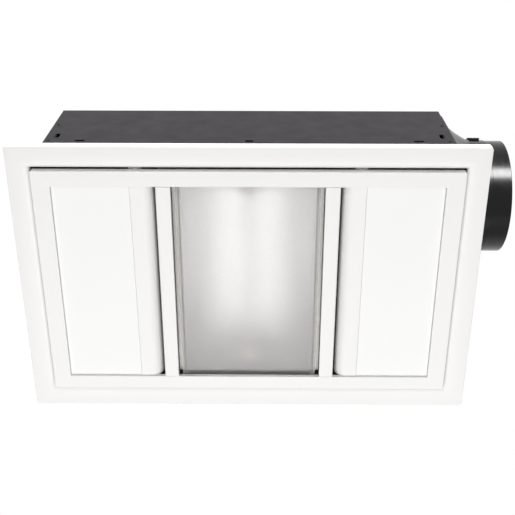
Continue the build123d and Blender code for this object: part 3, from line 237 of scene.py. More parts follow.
def roughness_of(shader, socket):
    """Link a roughness to the shader."""
    shader.id_data.links.new(socket, shader.inputs["Roughness"])


def shifted(colour, share):
    """A colour made a little darker or lighter."""
    return tuple(min(1.0, v * share) for v in colour)


def looked_at(tree):
    """One where a surface is seen, straight or in a reflection or through glass, and nought as a light."""
    paths = add_node(tree, "ShaderNodeLightPath").outputs
    seen = number(tree, "MAXIMUM", paths["Is Camera Ray"], paths["Is Glossy Ray"])
    return number(tree, "MAXIMUM", seen, paths["Is Transmission Ray"])


# In the finishes below a noise scale is the number of cells in a metre, so 1500 gives a grain of
# 0.7 mm. Spark-eroded, etched and powder-coated faces are finer than that on the real unit, and
# are drawn as coarse as they need to be to show.


# Satin white ABS: injection moulded in a fine spark-eroded mould
def white_abs():
    colour = bpy.context.scene.heater_fan_colours.white_abs
    material, tree, shader, place = start_material("white_abs", Specular_IOR_Level=0.45)
    broad = noise(tree, place, 9.0)
    colour_of(shader, tint(tree, broad, shifted(colour, 0.985), shifted(colour, 1.01)))
    roughness_of(shader, span(tree, noise(tree, place, 160.0), 0.34, 0.42))
    relief(tree, shader, noise(tree, place, 1500.0, 3.0), 0.00003, 0.5, 0.0003)
    return material


# Opal acrylic: cast sheet with light-scattering filler, smooth with a soft gloss
def opal_acrylic():
    colour = bpy.context.scene.heater_fan_colours.opal
    material, tree, shader, place = start_material("opal_acrylic", Specular_IOR_Level=0.4)
    grain = noise(tree, place, 1200.0, 3.0)
    colour_of(shader, tint(tree, grain, shifted(colour, 0.99), shifted(colour, 1.01)))
    roughness_of(shader, span(tree, noise(tree, place, 60.0), 0.30, 0.36))
    relief(tree, shader, noise(tree, place, 90.0), 0.00003, 0.4, 0.0002)
    return material


# Black powder coat on folded steel: orange peel with a faint metallic fleck
def coated_steel():
    colour = bpy.context.scene.heater_fan_colours.coated_steel
    material, tree, shader, place = start_material("black_coated_steel", Specular_IOR_Level=0.17)
    fleck = noise(tree, place, 700.0, 4.0, 0.7)
    colour_of(shader, tint(tree, span(tree, fleck, 0.0, 1.0), shifted(colour, 0.85), shifted(colour, 1.2)))
    roughness_of(shader, span(tree, noise(tree, place, 45.0), 0.50, 0.60))
    relief(tree, shader, noise(tree, place, 420.0, 3.0), 0.00012, 0.5, 0.0006)
    return material


def duct_moulding(name, level, low, high, depth):
    """Black moulding with flow lines, from its specular level, its roughness range and its relief."""
    colour = bpy.context.scene.heater_fan_colours.gloss_black
    material, tree, shader, place = start_material(name, Specular_IOR_Level=level)
    drawn = stretched(tree, place, (6.0, 1.0, 1.0))
    flow = noise(tree, drawn, 60.0, 3.0)
    colour_of(shader, tint(tree, flow, shifted(colour, 0.7), shifted(colour, 1.3)))
    roughness_of(shader, span(tree, flow, low, high))
    relief(tree, shader, noise(tree, drawn, 160.0), depth, 0.4, 0.0004)
    return material


# Black moulding of the duct tube: from a polished mould
def gloss_moulding():
    return duct_moulding("gloss_moulding", 0.22, 0.20, 0.27, 0.00003)


# Black moulding of the duct adaptor: the same plastic with a satin face
def satin_moulding():
    return duct_moulding("satin_moulding", 0.5, 0.22, 0.30, 0.00004)


# Black glass-filled nylon: matt with short pale fibres near the surface
def black_nylon():
    colour = bpy.context.scene.heater_fan_colours.black_nylon
    material, tree, shader, place = start_material("black_nylon", Specular_IOR_Level=0.45)
    fibres = noise(tree, stretched(tree, place, (1.0, 4.0, 4.0)), 500.0, 4.0)
    colour_of(shader, tint(tree, span(tree, fibres, 0.0, 1.0, 0.4, 0.8), colour, shifted(colour, 1.7)))
    roughness_of(shader, span(tree, fibres, 0.42, 0.56))
    relief(tree, shader, fibres, 0.00005, 0.4, 0.0004)
    return material


# Polypropylene of the impeller: even black with the sheen of a polished mould
def impeller_plastic():
    material, tree, shader, place = start_material("black_impeller", Specular_IOR_Level=0.45)
    flow = noise(tree, place, 120.0, 3.0)
    colour_of(shader, tint(tree, flow, "#161618", "#212124"))
    roughness_of(shader, span(tree, flow, 0.34, 0.46))
    relief(tree, shader, noise(tree, place, 900.0), 0.00003, 0.4, 0.0002)
    return material


# Rubber of the motor mounts: matt, with a bloom of pale dust
def rubber():
    material, tree, shader, place = start_material("black_rubber", Specular_IOR_Level=0.3)
    bloom = noise(tree, place, 240.0, 4.0)
    colour_of(shader, tint(tree, span(tree, bloom, 0.0, 1.0, 0.45, 0.9), "#1A1A1A", "#3A3936"))
    roughness_of(shader, span(tree, bloom, 0.72, 0.85))
    relief(tree, shader, bloom, 0.00006, 0.5, 0.0003)
    return material


# Phenolic of the safety cutout: hard black moulding with a brown cast
def phenolic():
    material, tree, shader, place = start_material("black_phenolic", Specular_IOR_Level=0.55)
    mottle = noise(tree, place, 300.0, 4.0)
    colour_of(shader, tint(tree, mottle, "#191513", "#2A221E"))
    roughness_of(shader, span(tree, mottle, 0.22, 0.34))
    relief(tree, shader, mottle, 0.00004, 0.3, 0.0004)
    return material


# Natural white nylon: slightly see-through, so its shade wanders
def white_nylon():
    material, tree, shader, place = start_material("white_nylon", Specular_IOR_Level=0.45)
    cloud = noise(tree, place, 80.0, 3.0)
    colour_of(shader, tint(tree, cloud, "#E2E0D8", "#EDEBE4"))
    roughness_of(shader, span(tree, cloud, 0.36, 0.46))
    relief(tree, shader, noise(tree, place, 700.0), 0.00004, 0.4, 0.0004)
    return material


# Grey ABS case of the driver and the capacitor: coarse spark-eroded texture
def grey_case():
    material, tree, shader, place = start_material("grey_case", Specular_IOR_Level=0.45)
    grain = noise(tree, place, 520.0, 3.0)
    colour_of(shader, tint(tree, grain, "#8B8D90", "#9A9C9F"))
    roughness_of(shader, span(tree, grain, 0.50, 0.62))
    relief(tree, shader, grain, 0.00006, 0.6, 0.0004)
    return material


# Solder resist on the light boards: white, over traces that show as a faint relief
def white_board():
    material, tree, shader, place = start_material("white_board", Specular_IOR_Level=0.5)
    values = {"Vector": place, "Scale": 40.0, "Mortar Size": 0.03, "Mortar Smooth": 0.2}
    traces = add_node(tree, "ShaderNodeTexBrick", inputs=values).outputs["Fac"]
    colour_of(shader, tint(tree, traces, "#EEEFEA", "#DADDD2"))
    roughness_of(shader, span(tree, noise(tree, place, 300.0), 0.28, 0.36))
    relief(tree, shader, traces, 0.00005, 0.6, 0.0002)
    return material


# Steatite of the lamp's holders and caps: unglazed with fine pores, drawn a dark brownish grey as painted
# shade
def ceramic():
    material, tree, shader, place = start_material("white_ceramic", Specular_IOR_Level=0.4)
    pores = noise(tree, place, 900.0, 5.0, 0.7)
    # The dark tones are painted shade that keeps the holders dim behind the frosted glass
    colour_of(shader, tint(tree, span(tree, pores, 0.0, 1.0, 0.3, 0.6), "#8A827D", "#9C948E"))
    roughness_of(shader, span(tree, pores, 0.55, 0.70))
    relief(tree, shader, pores, 0.00006, 0.6, 0.0004)
    return material


def metal(name, low, high, pattern, rough, depth, edge, bumps=None):
    """A bare metal from two tones, the pattern that mixes them, a roughness range and its relief."""
    material, tree, shader, place = start_material(name, Metallic=1.0)
    tones = pattern(tree, place)
    colour_of(shader, tint(tree, tones, low, high))
    roughness_of(shader, span(tree, tones, *rough))
    relief(tree, shader, (bumps or pattern)(tree, place), depth, 0.6, edge)
    return material


# Edges of the white band on the reflector's lips, a painted highlight line, in metres from the middle of the
# trough
HIGHLIGHT_BAND_STARTS = 0.0811
HIGHLIGHT_BAND_ENDS = 0.0846


# Stippled aluminium of the reflector: bright rolled sheet with a hammered grain. Its lips are
# drawn a darker grey as painted shade, and a white matt band on them by the heater glass's edges is a
# painted highlight line
def stippled_aluminium():
    def stipple(tree, place):
        return cells(tree, place, 420.0, "SMOOTH_F1")

    def wander(tree, place):
        return noise(tree, place, 260.0, 3.0)

    rough, depth, edge = (0.30, 0.40), 0.0004, 0.0003
    material = metal("stippled_aluminium", "#D8D7D6", "#ECEBEA", wander, rough, depth, edge, stipple)
    tree = material.node_tree
    shader = next(node for node in tree.nodes if node.type == "BSDF_PRINCIPLED")
    place = add_node(tree, "ShaderNodeTexCoord").outputs["Object"]
    across = add_node(tree, "ShaderNodeSeparateXYZ", inputs={0: place}).outputs["X"]
    distance = number(tree, "ABSOLUTE", across)
    # Beyond the band the lips take a darker grey: painted shade in the gap beside the bars
    lip = number(tree, "GREATER_THAN", distance, HIGHLIGHT_BAND_ENDS)
    # A white matt band, not metal, near the glass's edges: a painted highlight line
    highlight_band = number(tree, "SUBTRACT", number(tree, "GREATER_THAN", distance, HIGHLIGHT_BAND_STARTS), lip)
    tone = shader.inputs["Base Color"].links[0].from_socket
    for mask, paint in ((lip, "#B0AEAC"), (highlight_band, "#E9E7E3")):
        values = {0: mask, 6: tone, 7: opaque(paint)}
        tone = add_node(tree, "ShaderNodeMix", {"data_type": "RGBA"}, values).outputs[2]
    tree.links.new(tone, shader.inputs["Base Color"])
    tree.links.new(number(tree, "SUBTRACT", 1.0, highlight_band), shader.inputs["Metallic"])
    return material


# Plain aluminium of the trough's ends: as rolled, drawn dark grey as painted shade
def shade_painted_aluminium():
    def wander(tree, place):
        return noise(tree, place, 180.0, 3.0)

    # The dark grey tones are painted shade on the trough's ends
    return metal("shade_painted_aluminium", "#86837F", "#9A9793", wander, (0.45, 0.58), 0.00004, 0.0003)


# Aluminised steel of the heat shield: dull silver with a small mottle
def aluminised_steel():
    def mottle(tree, place):
        return noise(tree, place, 110.0, 5.0, 0.65)

    return metal("aluminised_steel", "#B4B4B3", "#CFCFCE", mottle, (0.38, 0.50), 0.00003, 0.0005)


# Galvanised steel of the blower: zinc crystals, each with its own shade
def galvanised_steel():
    def spangle(tree, place):
        return cells(tree, place, 75.0, "F1", "Color")

    return metal("galvanised_steel", "#A6AAAD", "#C9CCCE", spangle, (0.30, 0.46), 0.00001, 0.0005)


# Zinc plating on fasteners and posts: bright with a faint blue
def zinc_plating():
    def streaks(tree, place):
        return noise(tree, place, 480.0, 4.0)

    return metal("zinc_fastener", "#B9BDC2", "#D6D9DC", streaks, (0.24, 0.36), 0.00002, 0.0002)


# Spring steel: drawn and blued a little
def spring_steel():
    def drawn(tree, place):
        return noise(tree, stretched(tree, place, (3.0, 3.0, 0.5)), 700.0, 3.0)

    return metal("spring_steel", "#777B82", "#9DA1A6", drawn, (0.26, 0.38), 0.00001, 0.0001)


# Ground steel of the shaft, pin and bearings: fine turned rings
def ground_steel():
    def rings(tree, place):
        return noise(tree, stretched(tree, place, (0.2, 0.2, 8.0)), 500.0, 2.0)

    return metal("ground_steel", "#BCBDBF", "#DADBDC", rings, (0.16, 0.26), 0.00001, 0.0002)


# Tungsten of the lamp's coil: dark grey and sooty
def tungsten():
    def soot(tree, place):
        return noise(tree, place, 900.0, 3.0)

    return metal("tungsten_coil", "#55504B", "#7C766F", soot, (0.35, 0.5), 0.00001, 0.0001)


# Stoved enamel on the motor: dark silver with a slight orange peel
def motor_enamel():
    material, tree, shader, place = start_material("motor_enamel", Metallic=0.35, Specular_IOR_Level=0.5)
    peel = noise(tree, place, 300.0, 3.0)
    colour_of(shader, tint(tree, peel, "#55585C", "#6A6D71"))
    roughness_of(shader, span(tree, peel, 0.34, 0.46))
    relief(tree, shader, peel, 0.00005, 0.5, 0.0006)
    return material


def lets_light_through(tree, shader, colour):
    """Let lamps shine through glass, so that what is behind it is lit."""
    passing = add_node(tree, "ShaderNodeBsdfTransparent", inputs={"Color": opaque(colour)})
    rays = add_node(tree, "ShaderNodeLightPath").outputs["Is Shadow Ray"]
    values = {0: rays, 1: shader.outputs[0], 2: passing.outputs[0]}
    mixed = add_node(tree, "ShaderNodeMixShader", inputs=values)
    out = next(node for node in tree.nodes if node.type == "OUTPUT_MATERIAL")
    tree.links.new(mixed.outputs[0], out.inputs["Surface"])


# Frosted heater glass: toughened plate, etched inside, with a fine stipple
def frosted_glass():
    material, tree, shader, place = start_material(
        "frosted_glass", IOR=1.45, Transmission_Weight=0.88, Specular_IOR_Level=0.4
    )
    grain = noise(tree, place, 620.0, 4.0, 0.7)
    colour_of(shader, tint(tree, span(tree, grain, 0.0, 1.0, 0.3, 0.7), "#F3F2F1", "#FFFFFF"))
    roughness_of(shader, span(tree, grain, 0.46, 0.60))
    relief(tree, shader, grain, 0.00006, 0.4, 0.0004)
    lets_light_through(tree, shader, (0.97, 0.97, 0.97))
    return material


# Quartz of the lamp tube: clear, with faint drawing lines along it
def quartz():
    material, tree, shader, place = start_material(
        "clear_quartz", IOR=1.46, Transmission_Weight=0.95, Base_Color=opaque("#FBFBFA")
    )
    lines = noise(tree, stretched(tree, place, (8.0, 0.3, 8.0)), 120.0, 2.0)
    roughness_of(shader, span(tree, lines, 0.02, 0.06))
    relief(tree, shader, lines, 0.00003, 0.3, 0.0002)
    lets_light_through(tree, shader, (0.95, 0.95, 0.95))
    return material


FINISH_OF_SLOT = {
    "white_abs": white_abs,
    "opal_acrylic": opal_acrylic,
    "black_coated_steel": coated_steel,
    "black_moulding": gloss_moulding,
    "satin_moulding": satin_moulding,
    "black_nylon": black_nylon,
    "black_impeller": impeller_plastic,
    "black_rubber": rubber,
    "black_phenolic": phenolic,
    "white_nylon": white_nylon,
    "grey_case": grey_case,
    "white_board": white_board,
    "white_ceramic": ceramic,
    "stippled_aluminium": stippled_aluminium,
    "shade_painted_aluminium": shade_painted_aluminium,
    "aluminised_steel": aluminised_steel,
    "galvanised_steel": galvanised_steel,
    "zinc_fastener": zinc_plating,
    "spring_steel": spring_steel,
    "ground_steel": ground_steel,
    "tungsten_coil": tungsten,
    "motor_enamel": motor_enamel,
    "frosted_glass": frosted_glass,
    "clear_quartz": quartz,
}

# Nodes that get another finish than the one their slot names
FINISH_OF_NODE = {"duct_adaptor": "satin_moulding", "reflector_ends": "shade_painted_aluminium"}

FINISHED = {}


def finish(slot):
    """The material of a slot, made the first time it is asked for."""
    if slot not in FINISHED:
        FINISHED[slot] = FINISH_OF_SLOT[slot]()
    return FINISHED[slot]


def rounded(corners, steps=4):
    """A closed outline with an arc in place of each corner that has a radius."""
    points = []
    for k, (x, z, radius) in enumerate(corners):
        if radius == 0:
            points.append((x, z))
            continue
        here = Vector((x, z))
        before = Vector(corners[k - 1][:2]) - here
        after = Vector(corners[(k + 1) % len(corners)][:2]) - here
        before.normalize()
        after.normalize()
        half = before.angle(after) / 2
        centre = here + (before + after).normalized() * (radius / sin(half))
        start = here + before * (radius / tan(half)) - centre
        end = here + after * (radius / tan(half)) - centre
        turn = atan2(start.x * end.y - start.y * end.x, start.dot(end))
        for i in range(steps + 1):
            arm = start.copy()
            arm.rotate(Matrix.Rotation(turn * i / steps, 2))
            points.append(tuple(centre + arm))
    return points


def rectangle_loop(half_x, half_y, radius, steps=5):
    """Points round a rectangle. Its corners are arcs, or stacked points where the radius is 0."""
    loop = []
    for quarter, (i, j) in enumerate(((1, 1), (-1, 1), (-1, -1), (1, -1))):
        for k in range(steps + 1):
            turn = (quarter + k / steps) * pi / 2
            x = i * (half_x - radius) + radius * cos(turn)
            loop.append((x, j * (half_y - radius) + radius * sin(turn)))
    return loop


def add_loops(bm, loops):
    """Skin a closed run of closed loops of points, each with the same number of points."""
    rows = [[bm.verts.new(Vector(point) * MM) for point in loop] for loop in loops]
    for row, following in zip(rows, rows[1:] + rows[:1]):
        for k in range(len(row)):
            n = (k + 1) % len(row)
            bm.faces.new((row[k], row[n], following[n], following[k]))


def add_prism(bm, outline, low, high, place):
    """Draw an outline out between two levels. place turns (u, v, level) into x, y, z."""
    ends = [[bm.verts.new(Vector(place(u, v, level)) * MM) for u, v in outline] for level in (low, high)]
    bm.faces.new(ends[0])
    bm.faces.new(ends[1])
    for k in range(len(outline)):
        n = (k + 1) % len(outline)
        bm.faces.new((ends[0][k], ends[0][n], ends[1][n], ends[1][k]))


def add_turned(bm, outline, steps, place):
    """Turn a closed outline of (radius, level) round an axis. place turns (u, v, level) into x, y, z."""
    loops = []
    for radius, level in outline:
        turns = [2 * pi * k / steps for k in range(steps)]
        loops.append([place(radius * cos(t), radius * sin(t), level) for t in turns])
    add_loops(bm, loops)


def make_object(name, bm, material, sharp=35.0, bevel=0.0):
    """A finished mesh object from a bmesh, with its doubles merged and its faces turned outwards."""
    bmesh.ops.remove_doubles(bm, verts=bm.verts, dist=1e-6)
    bmesh.ops.recalc_face_normals(bm, faces=bm.faces)
    mesh = bpy.data.meshes.new(name)
    bm.to_mesh(mesh)
    bm.free()
    mesh.materials.append(material)
    mesh.shade_smooth()
    mesh.set_sharp_from_angle(angle=radians(sharp))
    piece = bpy.data.objects.new(name, mesh)
    bpy.context.scene.collection.objects.link(piece)
    if bevel:
        soften = piece.modifiers.new("edges", "BEVEL")
        soften.width = bevel
        soften.segments = 3
        soften.limit_method = "ANGLE"
        soften.angle_limit = radians(40)
        soften.harden_normals = True
    return piece


def put(piece, body, slot, *nodes):
    """Ride a finished piece on its body and let it stand for CAD nodes. The slot is not used."""
    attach(piece, body)
    if nodes:
        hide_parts(*nodes)


def upright(u, v, level):
    """Place an outline that lies in the XY plane."""
    return (u, v, level)


def along_y(u, v, level):
    """Place an outline that lies in the XZ plane."""
    return (u, level, v)


def pierced_block(bm, centre, size, hole, low, high):
    """A rectangular block with an upright round hole."""
    half_x, half_y = size[0] / 2, size[1] / 2
    corner = atan2(half_y, half_x)
    turns = sorted({k * pi / 12 for k in range(24)} | {corner, pi - corner, pi + corner, 2 * pi - corner})
    outer, inner = [], []
    for turn in turns:
        reach = min(half_x / max(abs(cos(turn)), 1e-9), half_y / max(abs(sin(turn)), 1e-9))
        outer.append((centre[0] + reach * cos(turn), centre[1] + reach * sin(turn)))
        inner.append((centre[0] + hole * cos(turn), centre[1] + hole * sin(turn)))
    add_loops(
        bm,
        [
            [(x, y, low) for x, y in outer],
            [(x, y, high) for x, y in outer],
            [(x, y, high) for x, y in inner],
            [(x, y, low) for x, y in inner],
        ],
    )


class HEATERFAN_OT_bezel(bpy.types.Operator):
    """Build the white bezel with its lip, flat band and rolled inner edge"""

    bl_idname = "heater_fan.bezel"
    bl_label = "Bezel"

    def execute(self, context):
        sizes = context.scene.heater_fan_sizes
        low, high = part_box("bezel")
        half_x, half_y, drop = high.x / MM, high.y / MM, -low.z / MM
        flat, wall, corner, lip = 16.5, 1.8, 3.0, sizes.lip_radius / MM
        roll, rise = sizes.roll_width / MM, sizes.roll_rise / MM
        level, throat_top = rise - drop, -1.5
        section = [(0.0, 0.0), *rounded([(0.0, 0.0, 0), (0.0, -drop, lip), (flat, -drop, 0)])[1:-1]]
        for k in range(sizes.roll_steps + 1):
            turn = radians(-90 + 90 * k / sizes.roll_steps)
            section.append((flat + roll * cos(turn), level + rise * sin(turn)))
        section += [(flat + roll, throat_top), (flat + roll - wall, throat_top)]
        for k in range(sizes.roll_steps + 1):
            turn = radians(-90 * k / sizes.roll_steps)
            section.append((flat + (roll - wall) * cos(turn), level + (rise - wall) * sin(turn)))
        section += [(wall, wall - drop), (wall, 0.0)]
        bm = bmesh.new()
        loops = []
        for inset, z in section:
            outline = rectangle_loop(half_x - inset, half_y - inset, max(corner - inset, 0.0))
            loops.append([(x, y, z) for x, y in outline])
        add_loops(bm, loops)
        lug, hole = (14.0, 12.0), 2.2
        for i, j in CORNERS:
            place = (i * BEZEL_SCREW[0], j * BEZEL_SCREW[1])
            pierced_block(bm, place, lug, hole, LUG_LEVEL, 0.0)
        piece = make_object("bezel_moulding", bm, finish("white_abs"))
        put(piece, "housing", "white_abs", "bezel")
        return {"FINISHED"}


class HEATERFAN_OT_panel(bpy.types.Operator):
    """Build the panel frame and the two bars beside the heater window"""

    bl_idname = "heater_fan.panel"
    bl_label = "Panel frame and bars"

    def execute(self, context):
        edge = context.scene.heater_fan_sizes.edge_radius
        low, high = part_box("panel_frame")
        half_x, half_y = high.x / MM, high.y / MM
        face, top = low.z / MM, high.z / MM
        window_x, window_y, wall, ledge = half_x - 21.2, half_y - 17.9, 1.8, -11.7
        corner, boss_outer, boss_bore = 1.4, 4.0, 1.5
        rows = [
            (half_x, half_y, top, corner),
            (half_x, half_y, face, corner),
            (window_x, window_y, face, 0.0),
            (window_x, window_y, ledge, 0.0),
            (window_x + wall, window_y + wall, ledge, 0.0),
            (window_x + wall, window_y + wall, face + wall, 0.0),
            (half_x - wall, half_y - wall, face + wall, 0.0),
            (half_x - wall, half_y - wall, top, 0.0),
        ]
        bm = bmesh.new()
        add_loops(bm, [[(x, y, z) for x, y in rectangle_loop(a, b, r)] for a, b, z, r in rows])
        boss = [(boss_outer, face + wall), (boss_outer, ledge)]
        boss += [(boss_bore, ledge), (boss_bore, face + wall)]
        for i, j in CORNERS:
            for x in PANEL_SCREW_X:
                middle = (i * x, j * PANEL_SCREW_Y)
                add_turned(bm, boss, 24, lambda u, v, w, m=middle: (m[0] + u, m[1] + v, w))
        piece = make_object("panel_moulding", bm, finish("white_abs"), bevel=edge)
        put(piece, "panel", "white_abs", "panel_frame")
        for side, name in ((-1, "left"), (1, "right")):
            self.bar(side, name, face, ledge, edge)
        return {"FINISHED"}

    def bar(self, side, name, face, ledge, edge):
        """A rounded box-section bar with a tongue on each end."""
        node = "heater_bar_" + name
        low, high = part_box(node)
        inner, outer = (min, max) if side > 0 else (max, min)
        near = inner(low.x, high.x) / MM
        away = outer(low.x, high.x) / MM
        section = [(near, ledge, 0.3), (near, face, 0.8), (away, face, 1.8), (away, ledge, 0.3)]
        reach, tongue = 129.3, 139.0
        bm = bmesh.new()
        add_prism(bm, rounded(section, 6), -reach, reach, along_y)
        middle, half = (near + away) / 2, abs(away - near) / 2 - 1.8
        corners = [(middle - half, -tongue, 1.0), (middle + half, -tongue, 1.0)]
        corners += [(middle + half, tongue, 1.0), (middle - half, tongue, 1.0)]
        add_prism(bm, rounded(corners), ledge, ledge + 1.5, upright)
        piece = make_object("bar_moulding_" + name, bm, finish("white_abs"), 28.0)
        put(piece, "panel", "white_abs", node)


class HEATERFAN_OT_duct(bpy.types.Operator):
    """Turn the glossy duct tube with its stop ring and pin bosses"""

    bl_idname = "heater_fan.duct"
    bl_label = "Duct tube"

    def execute(self, context):
        steps = context.scene.heater_fan_sizes.duct_steps
        low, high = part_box("duct_spigot")
        y, z = (low.y + high.y) / 2 / MM, (low.z + high.z) / 2 / MM
        start, end, neck = low.x / MM, high.x / MM, (high.z - low.z) / 2 / MM
        radius, bore, shoulder = neck - 0.8, neck - 2.6, 300.0
        ring, ring_start, ring_end = 66.0, 289.4, 292.4
        outline = rounded(
            [
                (neck, start, 0.2),
                (neck, shoulder, 0.3),
                (radius, shoulder, 0.2),
                (radius, end, 0.7),
                (bore, end, 0.7),
                (bore, ring_end, 0.2),
                (ring, ring_end, 0.3),
                (ring, ring_start, 0.3),
                (bore, ring_start, 0.2),
                (bore, start, 0.2),
            ],
            4,
        )
        bm = bmesh.new()

        def along_duct(u, v, level):
            return (level, y + u, z + v)

        add_turned(bm, outline, steps, along_duct)
        boss_inner, boss_outer, boss_half = 64.5, bore + 0.4, 4.0
        boss_start, boss_end = 292.5, 300.5
        arc = [boss_half * (k / 3 - 1) for k in range(7)]
        for j in SIDES:
            near = [(v, j * (boss_inner**2 - v * v) ** 0.5) for v in arc]
            away = [(v, j * (boss_outer**2 - v * v) ** 0.5) for v in reversed(arc)]
            add_prism(bm, near + away, boss_start, boss_end, along_duct)
        piece = make_object("duct_tube", bm, finish("black_moulding"), 30.0)
        put(piece, "housing", "black_moulding", "duct_spigot")
        return {"FINISHED"}


def new_tree(name, sockets):
    """A geometry tree with named inputs. Returns the tree and its input and output nodes."""
    tree = bpy.data.node_groups.new(name, "GeometryNodeTree")
    tree.interface.new_socket("Geometry", in_out="INPUT", socket_type="NodeSocketGeometry")
    tree.interface.new_socket("Geometry", in_out="OUTPUT", socket_type="NodeSocketGeometry")
    for label, kind in sockets:
        tree.interface.new_socket(label, in_out="INPUT", socket_type="NodeSocket" + kind)
    return tree, tree.nodes.new("NodeGroupInput").outputs, tree.nodes.new("NodeGroupOutput")


def close_tree(tree, result, material, end):
    """End a geometry tree: real geometry, smooth faces with sharp edges, and its material."""
    real = add_node(tree, "GeometryNodeRealizeInstances", inputs={"Geometry": result}).outputs[0]
    angle = add_node(tree, "GeometryNodeInputMeshEdgeAngle").outputs["Unsigned Angle"]
    sharp = add_node(
        tree, "FunctionNodeCompare", {"operation": "GREATER_THAN"}, {"A": angle, "B": radians(35)}
    ).outputs[0]
    smooth = add_node(tree, "GeometryNodeSetShadeSmooth", {"domain": "FACE"}, {0: real}).outputs[0]
    edged = add_node(
        tree,
        "GeometryNodeSetShadeSmooth",
        {"domain": "EDGE"},
        {0: smooth, "Selection": sharp, "Shade Smooth": False},
    ).outputs[0]
    if material is not None:
        values = {"Geometry": edged, "Material": material}
        edged = add_node(tree, "GeometryNodeSetMaterial", inputs=values).outputs[0]
    tree.links.new(edged, end.inputs[0])


def grow(name, tree, values, base=None):
    """Run a geometry tree on a base mesh and return its result as a plain mesh object."""
    mesh = base or bpy.data.meshes.new(name + "_base")
    holder = bpy.data.objects.new(name + "_holder", mesh)
    bpy.context.scene.collection.objects.link(holder)
    modifier = holder.modifiers.new("build", "NODES")
    modifier.node_group = tree
    for item in tree.interface.items_tree:
        if item.in_out == "INPUT" and item.name in values:
            modifier[item.identifier] = values[item.name]
    graph = bpy.context.evaluated_depsgraph_get()
    result = bpy.data.meshes.new_from_object(holder.evaluated_get(graph))
    bpy.data.objects.remove(holder)
    if not result.polygons:
        raise RuntimeError(name + " came out empty")
    result.name = name
    piece = bpy.data.objects.new(name, result)
    bpy.context.scene.collection.objects.link(piece)
    return piece


def seats_mesh(name, seats):
    """A mesh of bare points, each with the direction that its fastener's head faces."""
    mesh = bpy.data.meshes.new(name)
    mesh.from_pydata([Vector(place) * MM for place, _ in seats], [], [])
    aim = mesh.attributes.new("aim", "FLOAT_VECTOR", "POINT")
    aim.data.foreach_set("vector", [v for _, facing in seats for v in facing])
    return mesh


def move(tree, geometry, translation=(0, 0, 0), rotation=(0, 0, 0)):
    """Move and turn geometry inside a tree."""
    values = {"Geometry": geometry, "Translation": translation, "Rotation": rotation}
    return add_node(tree, "GeometryNodeTransform", inputs=values).outputs[0]


def triple(tree, x=0.0, y=0.0, z=0.0):
    """A vector inside a tree."""
    return add_node(tree, "ShaderNodeCombineXYZ", inputs={"X": x, "Y": y, "Z": z}).outputs[0]


def carve(tree, operation, body, tool):
    """Cut one mesh by another inside a tree, or keep what they share."""
    node = add_node(tree, "GeometryNodeMeshBoolean", {"operation": operation})
    for part in (body, tool) if operation == "INTERSECT" else (tool,):
        tree.links.new(part, node.inputs["Mesh 2"])
    if operation == "DIFFERENCE":
        tree.links.new(body, node.inputs["Mesh 1"])
    return node.outputs[0]


def drum(tree, radius, depth, steps=24):
    """A cylinder that stands on the origin, inside a tree."""
    values = {"Vertices": steps, "Radius": radius, "Depth": depth}
    mesh = add_node(tree, "GeometryNodeMeshCylinder", inputs=values).outputs[0]
    return move(tree, mesh, triple(tree, z=number(tree, "MULTIPLY", depth, 0.5)))


def place_on_seats(tree, seats, fastener, seed):
    """Set one fastener on each seat, facing along its aim, with its own turn."""
    aim = add_node(
        tree, "GeometryNodeInputNamedAttribute", {"data_type": "FLOAT_VECTOR"}, {"Name": "aim"}
    ).outputs[0]
    facing = add_node(tree, "FunctionNodeAlignRotationToVector", {"axis": "Z"}, {"Vector": aim}).outputs[0]
    turn = add_node(
        tree, "FunctionNodeRandomValue", {"data_type": "FLOAT"}, {2: 0.0, 3: 1.5, "Seed": seed}
    ).outputs[1]
    values = {"Axis": (0, 0, 1), "Angle": turn}
    spin = add_node(tree, "FunctionNodeAxisAngleToRotation", inputs=values).outputs[0]
    rotation = add_node(
        tree, "FunctionNodeRotateRotation", {"rotation_space": "LOCAL"}, {0: facing, 1: spin}
    ).outputs[0]
    values = {"Points": seats, "Instance": fastener, "Rotation": rotation}
    return add_node(tree, "GeometryNodeInstanceOnPoints", inputs=values).outputs[0]


def rivet_tree():
    """Blind rivets: a shallow dome with the hole that the pulled pin leaves."""
    tree, given, end = new_tree(
        "blind_rivets",
        [("Head Radius", "Float"), ("Head Height", "Float"), ("Seed", "Int"), ("Material", "Material")],
    )
    radius, height = given["Head Radius"], given["Head Height"]
    square = number(tree, "ADD", number(tree, "POWER", radius, 2.0), number(tree, "POWER", height, 2.0))
    ball_radius = number(tree, "DIVIDE", square, number(tree, "MULTIPLY", height, 2.0))
    values = {"Segments": 24, "Rings": 40, "Radius": ball_radius}
    ball = add_node(tree, "GeometryNodeMeshUVSphere", inputs=values).outputs[0]
    ball = move(tree, ball, triple(tree, z=number(tree, "SUBTRACT", height, ball_radius)))
    cap = carve(tree, "INTERSECT", ball, drum(tree, number(tree, "MULTIPLY", radius, 1.2), 0.004))
    pit = move(
        tree, drum(tree, number(tree, "MULTIPLY", radius, 0.34), 0.004, 14),
        triple(tree, z=number(tree, "MULTIPLY", height, 0.45)),
    )
    head = carve(tree, "DIFFERENCE", cap, pit)
    placed = place_on_seats(tree, given["Geometry"], head, given["Seed"])
    close_tree(tree, placed, given["Material"], end)
    return tree


